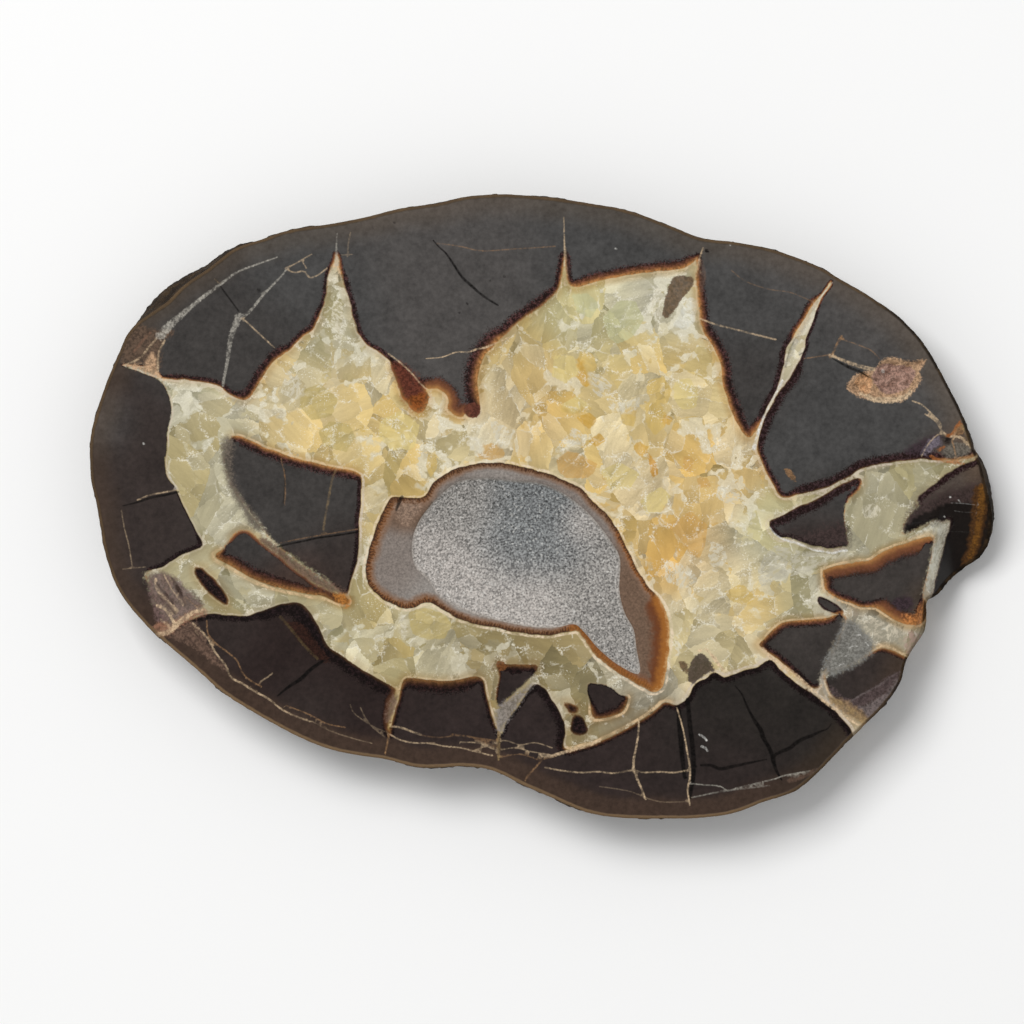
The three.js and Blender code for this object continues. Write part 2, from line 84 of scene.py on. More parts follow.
# Edges between mudstone and calcite. Each stretch of an outline has the width of its dark rim, the
# orange share of that width, the width of the cream line beside it, and how far the edge is blurred.
cavityOutline = [
    (0.25, 0.6, 0.45, 0, [(-57.7, 19.5), (-55.1, 19.2), (-52.9, 18.7), (-52.2, 17.7)]),
    (0.7, 0.25, 0.3, 0, [(-51.6, 17.5), (-49.6, 17.4), (-47.5, 17.2), (-45.5, 16.8), (-44.1, 16.4),
      (-43, 15.5)]),
    (1.2, 0.3, 0.15, 0, [(-41.9, 14.9), (-40.8, 14.6), (-40, 15.1), (-39.3, 16.2), (-38.4, 17.6),
      (-37.5, 19), (-36.6, 20.1)]),
    (0.8, 0.35, 0.2, 0, [(-34.8, 21.4), (-33.6, 22.5), (-32.5, 23.6), (-31.4, 24.3), (-30.8, 25.4)]),
    (0.55, 0.15, 0.12, 0.15, [(-30.4, 26.5), (-30, 27.6), (-29.6, 29), (-29.5, 30.3), (-29.3, 31.7)]),
    (0.5, 0.7, 0.4, 0.2, [(-28.9, 32.8), (-28.5, 33.7), (-28.2, 34.7), (-28, 33.8)]),
    (0.75, 0.12, 0.1, 0.15, [(-27.5, 31.7), (-26.7, 29), (-26, 26.2)]),
    (0.6, 0.2, 0.25, 0, [(-25.3, 23.9), (-23.8, 22), (-22.7, 21.4), (-21.5, 20.6), (-20.8, 19.8)]),
    (2.2, 0.35, 0.2, 0, [(-20.7, 19), (-20.4, 18.3), (-20, 17.2), (-19.6, 16.2), (-19.2, 15.1),
      (-18.6, 14.3)]),
    (2.2, 0.6, 0.1, 0, [(-18.1, 13.5), (-17.4, 12.9), (-16.6, 12.9), (-16, 13.5)]),
    (1.6, 0.35, 0.3, 0, [(-15.6, 14.2), (-15.5, 15), (-15.8, 15.7)]),
    (1.5, 0.8, 0.35, 0, [(-16.2, 16.2), (-15.1, 16.1), (-14.4, 16.2), (-13.6, 15.7), (-13, 15.1),
      (-12.7, 14.3), (-13, 13.6), (-12.5, 12.9), (-11.6, 12.4), (-10.8, 12.4), (-10.5, 12.8)]),
    (1.5, 0.08, 0.15, 0, [(-10.1, 12.3), (-9.5, 12.1), (-8.8, 12.4), (-8.4, 13.1), (-8.5, 13.8)]),
    (1.9, 0.45, 0.15, 0, [(-8.6, 14.3), (-8.6, 15.1), (-8.8, 16.6), (-8.6, 18.7), (-8.1, 20.2),
      (-7.3, 21.4)]),
    (1.3, 0.22, 0.1, 0.15, [(-5.1, 23.5), (-3, 25.5), (-1.6, 26.4), (0.5, 28)]),
    (0.8, 0.35, 0.15, 0.1, [(2.1, 29.5), (2.5, 30.8), (2.8, 32), (3, 33.2), (3.1, 34.3), (3.2, 33.4)]),
    (0.7, 0.4, 0.15, 0.1, [(3.3, 32.1), (3.5, 31)]),
    (1.25, 0.62, 0.2, 0, [(3.8, 30.3), (5.2, 30.2), (7.9, 31), (10, 31.4), (12.1, 31.8), (14.1, 32.1),
      (16.2, 32.3), (18.2, 32.5), (19.6, 32.8), (20.5, 33.4)]),
    (0.6, 0.5, 0.3, 0.2, [(21.2, 33.9), (21.4, 34.4), (21.4, 33.5)]),
    (1.1, 0.6, 0.2, 0.15, [(21.2, 32.1), (21.2, 30.5), (21.5, 27.9)]),
    (1.35, 0.4, 0.18, 0, [(22.1, 24.2), (23.4, 22), (24.5, 19.7), (24.9, 16.6), (25.8, 13.9), (26.7, 11.6),
      (27.4, 10.3)]),
    (0.9, 0.7, 0.2, 0, [(28.4, 9.4), (29, 10.1)]),
    (0.75, 0.05, 0.25, 0, [(30.2, 11.8), (31.1, 14), (32.1, 15.8), (32.7, 17.5), (33.2, 19.4),
      (33.5, 21.4)]),
    (0.75, 0.6, 0.3, 0, [(34.6, 23.5), (35.8, 25.3), (36.8, 27.2)]),
    (0.3, 0.6, 0.2, 0, [(38, 28.6), (38.9, 29.8), (39.7, 30.9), (39.9, 30.8), (39, 29.5)]),
    (0.45, 0.05, 0.2, 0, [(37.7, 27.3), (37.1, 25.3), (36.2, 23.1), (35.9, 21.3)]),
    (1.1, 0.02, 0.25, 0, [(35, 19.4), (33.8, 17.3), (32.5, 15.7), (31.5, 13.9), (30.5, 12), (29.9, 10.2)]),
    (0.75, 0.3, 0.35, 0, [(29.5, 8.3), (30.1, 6.1), (31, 4.3), (32.6, 1.6), (33.4, 1.2)]),
    (1.15, 0.05, 0.4, 0, [(35.3, 1.7), (38.1, 2.4), (40.1, 3.1), (42.2, 4.2), (43.6, 5.1), (46.3, 5.8),
      (49, 6.2), (51.8, 6.5)]),
    (0.7, 0.4, 0.35, 0.1, [(54.5, 6.4), (57.3, 6.5), (59.3, 6.9), (60.8, 7.5)]),
    (0.85, 0, 0.05, 0.12, [(60.7, 7.1), (57.8, 5.8), (56.2, 4.9), (54.9, 4), (53.3, 2.7), (52.1, 1.7),
      (51.5, 1.2)]),
    (0.4, 0, 0.1, 0.5, [(51.5, 0.6), (51.9, 0.3), (51.5, -0.2), (50.7, -1), (50.1, -1.8), (49.6, -2.8),
      (49.5, -3.4), (49.9, -3.8), (51.1, -3.1), (52.5, -2.5), (53.8, -1.8)]),
    (0.5, 0, 0.25, 0.15, [(54.9, -2.1), (55.6, -2), (56.3, -2), (56, -3.5), (55.6, -5.3), (55.1, -7.1),
      (54.5, -9.4), (54, -12), (53.7, -13.6)]),
    (0.1, 0, 0, 0, [(55.9, -18.3), (53.2, -22.4)]),
    (0.8, 0.75, 0.3, 0, [(50.3, -20.9), (49, -20.2), (47.7, -19.6), (46.6, -19.4), (45.5, -19.9)]),
    (0.2, 0.2, 0, 0.8, [(44.4, -20.6), (42.9, -21.4), (41.5, -22.1), (40.3, -22.5), (39.3, -22.7)]),
    (0.3, 0.7, 0.4, 0.2, [(38.9, -23.5), (39.2, -24.9), (39.9, -26), (41.1, -27.1), (42.2, -27.6),
      (43.6, -28.7), (44.7, -29.8), (45.5, -31.7)]),
    (0.9, 0.04, 0.5, 0, [(43, -31.7), (42.2, -30.3), (41.5, -29.5), (39.6, -27.4), (36.8, -25.5),
      (34.1, -23.6), (32.7, -22.3), (31.5, -21.1)]),
    (0.8, 0.04, 0.6, 0, [(30.7, -21.3), (29.5, -22), (27.8, -22.5), (26, -23.1), (24.9, -23.4), (24, -22.8),
      (23.2, -22.9), (22.6, -23.5), (21.6, -24), (20.8, -24.6), (20.3, -25.7), (19.6, -26.6),
      (18.5, -27.3)]),
    (0.6, 0.55, 0.6, 0, [(17.8, -27.1), (17.1, -26.8), (16.7, -26.9), (15.8, -27.7), (14.8, -28.6),
      (13.4, -29.4), (12.1, -30.2), (10.7, -30.9), (9.3, -31.6), (7.9, -32.3), (6.6, -32.8), (5.2, -33.1),
      (3.8, -33.5)]),
    (1.1, 0.04, 0.2, 0, [(3, -33.2), (3, -32.3), (3.2, -31.3), (3, -29.5), (2.5, -28.3), (1.9, -27.2),
      (1.2, -26.2), (0.5, -25.1), (-0.1, -24.6), (-1, -24.3)]),
    (0.5, 0, 0.15, 0.1, [(-1.9, -25.1), (-2.7, -26.5), (-3.7, -27.9), (-4.7, -29.2), (-5.3, -30.6),
      (-5.8, -31.4)]),
    (0.6, 0.3, 0.3, 0, [(-6.2, -30.6), (-6.8, -28.6), (-7.4, -26.5), (-7.8, -24.9), (-8.1, -23.8)]),
    (1.7, 0.45, 0.2, 0, [(-8.5, -23.4), (-9.3, -23.2), (-10.5, -23.5), (-11.9, -23.8), (-13.8, -23.9),
      (-15.3, -23.8), (-16.7, -23.6), (-18.4, -23.5), (-18.9, -23.6)]),
    (0.6, 0.45, 0.3, 0, [(-19.3, -24.6), (-19.7, -26.5), (-20.3, -28.6), (-20.7, -30.3), (-20.9, -31.4)]),
    (0.9, 0.75, 0.15, 0.1, [(-21.1, -30.3), (-21, -28.7), (-20.8, -27.2), (-20.4, -26.1), (-20, -25.3)]),
    (1.6, 0.12, 0.08, 0, [(-20.5, -24.6), (-21.5, -24.2), (-23.6, -23), (-25.6, -21.7), (-27.4, -20.5)]),
    (2.4, 0.05, 0.12, 0, [(-29.2, -19.3), (-30.1, -17.7), (-31.2, -15.5), (-32.1, -14.2), (-33, -13.4)]),
    (1.5, 0.04, 0.15, 0, [(-34.5, -13.2), (-35.5, -13.4), (-36.6, -13.6)]),
    (0.8, 0.04, 0.2, 0, [(-38.9, -14.5), (-40.8, -15), (-43.2, -14.9), (-46, -14.7)]),
    (0.3, 0.6, 0.5, 0.2, [(-47.9, -15.3), (-49.3, -16), (-50.7, -16.8), (-51.9, -17.5), (-53.3, -18.3)]),
    (0.25, 0.5, 0.1, 0.8, [(-52.9, -17.2), (-51.5, -16.2), (-52.3, -14.5), (-53.3, -12.5), (-53.8, -10.8),
      (-54.4, -9.4)]),
    (0.6, 0.02, 0.2, 0, [(-53.7, -8.8), (-51.8, -8.2), (-49.9, -6.9), (-47.9, -6), (-46.6, -5.5)]),
    (0.2, 0.02, 0.2, 0, [(-47.1, -3.9), (-48.2, -1.8), (-49.2, 0.2), (-49.9, 1.8)]),
    (0.12, 0.05, 0.25, 0.1, [(-50.1, 2.5), (-51.2, 3.6), (-51.7, 5.7), (-51.5, 7.7), (-51.4, 10.2),
      (-50.8, 13.1), (-51.2, 15.1), (-51.9, 16.6), (-52.7, 17.5), (-53.7, 17.9), (-55.8, 18.7)]),
]
# The fragments inside the cavity
fragmentOutlines = [[  # middle left
    (1.2, 0.42, 0.3, 0, [(-42.5, 9.7), (-41, 9.5), (-39.3, 8.7), (-35.9, 7.3), (-33.2, 6.5), (-29, 5.5),
      (-25.3, 4.6)]),
    (0.6, 0.08, 0.45, 0, [(-24.8, 4), (-24.8, 0.9), (-25.1, -1.8), (-25.1, -4.6), (-25.3, -7.3)]),
    (0.35, 0.3, 0.2, 0, [(-25.8, -9.1), (-26.3, -10.5), (-26.8, -12)]),
    (0.25, 0, 0, 0.6, [(-29, -10.6), (-31.1, -9.1), (-33.2, -7.7), (-34.5, -6.6), (-36.3, -5.3), (-37.5, -4),
      (-38.6, -2.5), (-40.7, 0.2), (-42.1, 2.3), (-42.9, 3.8), (-43.3, 5.3), (-43.4, 6.8), (-43, 8.4)]),
], [  # lower left wedge
    (0.5, 0.85, 0.1, 0.3, [(-43, -4.7), (-41.6, -3.4), (-40.5, -3.2), (-38.8, -4.6), (-36.2, -6.6),
      (-33.6, -8.8), (-30.7, -10.8)]),
    (0.9, 1, 0.35, 0, [(-27.9, -12), (-27, -12.4), (-26.3, -13.1), (-27.3, -13.4)]),
    (1.5, 0.6, 0.7, 0, [(-29.7, -12.5), (-33.8, -11.7), (-37.9, -10.6), (-40.7, -9.4), (-43.4, -7.7),
      (-44.9, -6.8)]),
    (0.2, 0.4, 0, 0.4, [(-43.8, -5.8)]),
], [  # right tooth
    (1.25, 0.04, 0.25, 0, [(31.1, -2.1), (33, -1.2), (34.7, -0.3), (36.7, 0.6), (38.1, 1.3), (39.7, 2.3),
      (41.5, 3.2), (43.3, 4)]),
    (0.5, 0.5, 0.1, 0.2, [(44, 3.6), (43.7, 2.7), (42.9, 1.7), (42.2, 1.2)]),
    (0.15, 0.2, 0.1, 0.2, [(41.8, 0.5), (41.5, -0.5), (41.6, -2.5), (41.9, -4.6), (42.1, -5.5)]),
    (0.6, 0, 0.8, 0, [(41.1, -5.5), (39.7, -5.8), (38.4, -5.5), (37, -5.4), (35.8, -4.9), (34, -4.3),
      (32.6, -4.2), (31.8, -3.6)]),
], [  # right wedge
    (1.8, 0.78, 0.4, 0.05, [(38.5, -8.8), (39.7, -8.3), (41.1, -8), (42.7, -7.6), (44.1, -7.5), (45.3, -7.3),
      (46.4, -6.4), (47.8, -5.8), (49, -5.3), (50.3, -4.9), (51.8, -4.5), (53.4, -4.1)]),
    (0.15, 0.1, 0.12, 0.6, [(53.8, -4.5), (53.6, -6), (53.2, -8), (52.7, -10.1), (52.3, -12.4)]),
    (1.7, 0.8, 0.3, 0, [(52.6, -12.8), (52.9, -14.3), (52.7, -15.7), (51.9, -16.2), (50.7, -16.2),
      (49.3, -16), (48.1, -15.3), (47, -14.6)]),
    (0.85, 0.5, 0.35, 0, [(45.6, -13.9), (43.8, -13.8), (42.2, -13.2), (40.8, -12.7), (39.7, -12)]),
    (1.3, 0.6, 0.3, 0.1, [(38.9, -11.3), (38.6, -10.1)]),
], [  # right sliver
    (0.3, 0, 0.15, 0.1, [(37.9, -12.3), (38.9, -12.5), (40, -13.1), (40.8, -13.8), (41.5, -14.6),
      (40.5, -14.8), (39.5, -14.5), (38.4, -13.9), (37.8, -13.1)]),
], [  # lower right wedge
    (0.9, 0.62, 0.25, 0, [(29.7, -19), (30.3, -18.3), (31.5, -17.2), (32.9, -16), (34, -15.7), (37, -15.5),
      (39.2, -15.3), (40.8, -14.7)]),
    (0.15, 0, 0, 0.9, [(41.5, -15), (41.4, -16.4), (40.8, -17.9), (40, -19.7), (39.3, -21), (38.9, -22.1),
      (38.4, -23.2)]),
    (0.8, 0.35, 0.5, 0, [(37.9, -24.9), (37.4, -25), (36, -24.2), (34, -22.4), (31.9, -20.6),
      (30.5, -19.7)]),
], [  # lower right bean
    (0.15, 0.3, 0, 0.9, [(45.8, -20.3), (44.7, -21.2), (42.9, -22.3), (41.5, -23.4), (40.5, -24.3),
      (40.1, -25.1), (41.1, -25.3), (42.9, -24.9), (44.9, -24.2), (47, -23.2), (48.6, -22.5)]),
    (0.6, 0.7, 0.3, 0.2, [(49, -21.6), (48.1, -20.3), (47, -19.5)]),
], [  # hanging chip
    (1.6, 0.3, 0.1, 0, [(-6.2, -21.6), (-4.4, -21.6), (-1.6, -21.7), (-0.5, -21.8)]),
    (0.15, 0, 0, 0.3, [(-0.8, -22.8), (-1.9, -23.8), (-3.3, -25.1), (-4.7, -26.5), (-5.8, -27.5)]),
    (0.35, 0.7, 0.1, 0.1, [(-6.3, -26.5), (-6.2, -24.5), (-5.9, -23.1)]),
], [  # brown bit one
    (1, 0.35, 0.1, 0.1, [(2.9, -26.9), (4.1, -27.1), (5.1, -27.6), (4.8, -28.3), (4, -28.4), (3.3, -27.7)]),
], [  # brown bit two
    (1.2, 0.15, 0.1, 0.1, [(4.4, -28.7), (5.3, -28.7), (6, -29.7), (6.3, -30.6), (5.9, -31.2), (4.8, -31.3),
      (4, -30.8), (4, -29.5)]),
], [  # lower bud
    (0.2, 0.1, 0.1, 0.1, [(6.3, -25.7), (6.3, -24.2), (7.5, -24.3), (8.9, -24.6), (9.9, -25.1),
      (10.7, -25.8)]),
    (0.95, 0.6, 0.45, 0, [(11.8, -26), (11.6, -27.2), (11, -28.2), (9.6, -28.7), (7.9, -29.1), (7, -29)]),
    (0.4, 0.1, 0.1, 0.1, [(6.6, -27.2)]),
], [  # left sliver
    (0.8, 0.3, 0.15, 0.1, [(-47.5, -8.3), (-46.6, -8.4), (-45.2, -9.8), (-43.8, -11.4), (-43, -12.8),
      (-43.3, -13.6), (-44.1, -13.2), (-45.8, -11.8), (-47.1, -10.1), (-47.7, -9)]),
]]
coreOutline = [
    (1.0, 0.4, 0.25, 0, [(-20.7, 1.2), (-18.4, 1.2), (-16.2, 1.3), (-15.1, 3.1), (-13.3, 4.5)]),
    (0.75, 0.1, 0.35, 0, [(-11, 5.4), (-8.2, 6), (-5.8, 6), (-3, 5.5), (-0.3, 4.9), (2.5, 3.9), (5.5, 2.4),
      (6.8, 0.9), (8.8, -0.9)]),
    (0.8, 0.6, 0.3, 0, [(10.4, -3.2), (11.8, -6), (12.9, -8.3), (14.5, -10.8)]),
    (2.0, 0.85, 0.5, 0, [(15.9, -12.3), (16.8, -13.9), (17.5, -16.1), (17.4, -19.9), (17, -22.9),
      (16.4, -24.9)]),
    (1.3, 0.7, 0.5, 0, [(15.3, -25.5), (14.1, -25), (12.3, -24), (10.3, -22.8), (8.5, -21.4), (7, -19.9),
      (5.6, -18), (4.9, -17.1)]),
    (0.85, 0.4, 0.45, 0, [(3.4, -17.2), (1.4, -17.6), (-1.1, -17.6), (-3.7, -17.2), (-6.7, -16.6),
      (-9.7, -16), (-12.1, -15.1), (-13.6, -14.2)]),
    (1.05, 0.5, 0.45, 0, [(-15.2, -13.2), (-16.2, -13.3), (-17.7, -13.9), (-19.5, -13.8), (-21.9, -12.7),
      (-23.3, -11.4), (-24.1, -9.9), (-24.2, -9.2)]),
    (1.3, 0.5, 0.3, 0, [(-24, -6.9), (-23.3, -4.3), (-22.5, -2.1), (-21.5, -0.1)]),
]

# Finishes of veins, patches and shards
finishes = {
    "cream": (206, 180, 146), "greyCream": (170, 165, 154), "white": (214, 212, 206),
    "tan": (154, 118, 82), "yellowTan": (146, 122, 84), "orange": (150, 90, 44), "olive": (80, 66, 42),
    "tanGrain": (85, 68, 55), "smoky": (89, 80, 71), "umber": (87, 66, 47), "rust": (118, 90, 63),
    "shadow": (58, 46, 43), "lilac": (98, 88, 86), "plum": (51, 39, 44), "teal": (108, 107, 103),
    "plumGrey": (72, 60, 59), "yellowGrain": (121, 99, 76), "streaky": (96, 77, 73),
    "greyGrain": (118, 111, 106), "black": (12, 7, 6), "ochreBand": (74, 46, 18),
    "pocketTan": (172, 140, 110), "pocketPlum": (158, 126, 112), "pocketOrange": (195, 153, 114),
    # the dark pit's tone is painted shade in a small pit by the hollow's rim
    "pocketCream": (189, 165, 135), "violet": (101, 93, 102), "darkPit": (52, 56, 58),
    "coreBrown": (132, 110, 94), "brightOrange": (172, 112, 62), "greyBrown": (95, 75, 63),
    "bandBrown": (43, 23, 16), "pinkTan": (126, 91, 72), "plumShade": (56, 44, 42),
    "slateBit": (95, 89, 80), "darkBrown": (52, 38, 32), "dropRed": (90, 46, 32),
    "dropAmber": (121, 66, 25), "chipRust": (99, 61, 31), "dropDark": (87, 48, 36),
    "amberTip": (151, 98, 44), "ochreTooth": (38, 22, 10), "ochreLight": (132, 88, 32),
    "shardAmber": (208, 178, 104), "shardOrange": (203, 158, 62), "deepOrange": (200, 141, 24),
    "peach": (202, 160, 92), "paleGreen": (194, 192, 148), "paleYellow": (216, 196, 131),
    "oliveYellow": (188, 169, 109), "whiteSugar": (215, 207, 184), "palest": (222, 220, 206),
    "blueWhite": (190, 184, 164), "rosyWhite": (182, 154, 140), "beige": (150, 144, 126),
}
# How far a patch's edge is blurred, where it isn't crisp
softness = {
    "smoky": 0.5, "shadow": 0.15, "lilac": 0.3, "tanGrain": 0.4, "greyGrain": 0.4, "streaky": 0.4,
    "teal": 0.5, "plumGrey": 0.3, "black": 0.4, "coreBrown": 0.5, "yellowGrain": 0.3, "plum": 0.4,
    "whiteSugar": 0.6, "palest": 0.35, "violet": 0.3, "ochreBand": 0.4,
    "brightOrange": 0.6, "greyBrown": 0.35, "bandBrown": 0.3, "pinkTan": 0.35, "plumShade": 0.9,
    "slateBit": 0.3, "blueWhite": 0.5, "rosyWhite": 0.6, "beige": 0.6, "pocketTan": 0.2,
    "pocketPlum": 0.2, "pocketOrange": 0.3, "dropRed": 0.5, "dropAmber": 0.7, "amberTip": 0.4,
}
# How strongly a line is broken up into dots, by its finish
dotted = {"greyCream": 0.45, "white": 0.4, "cream": 0.4, "tan": 0.45}
plainDots = 0.3
crackDots = 0.2
crackTone = (6, 3, 2)
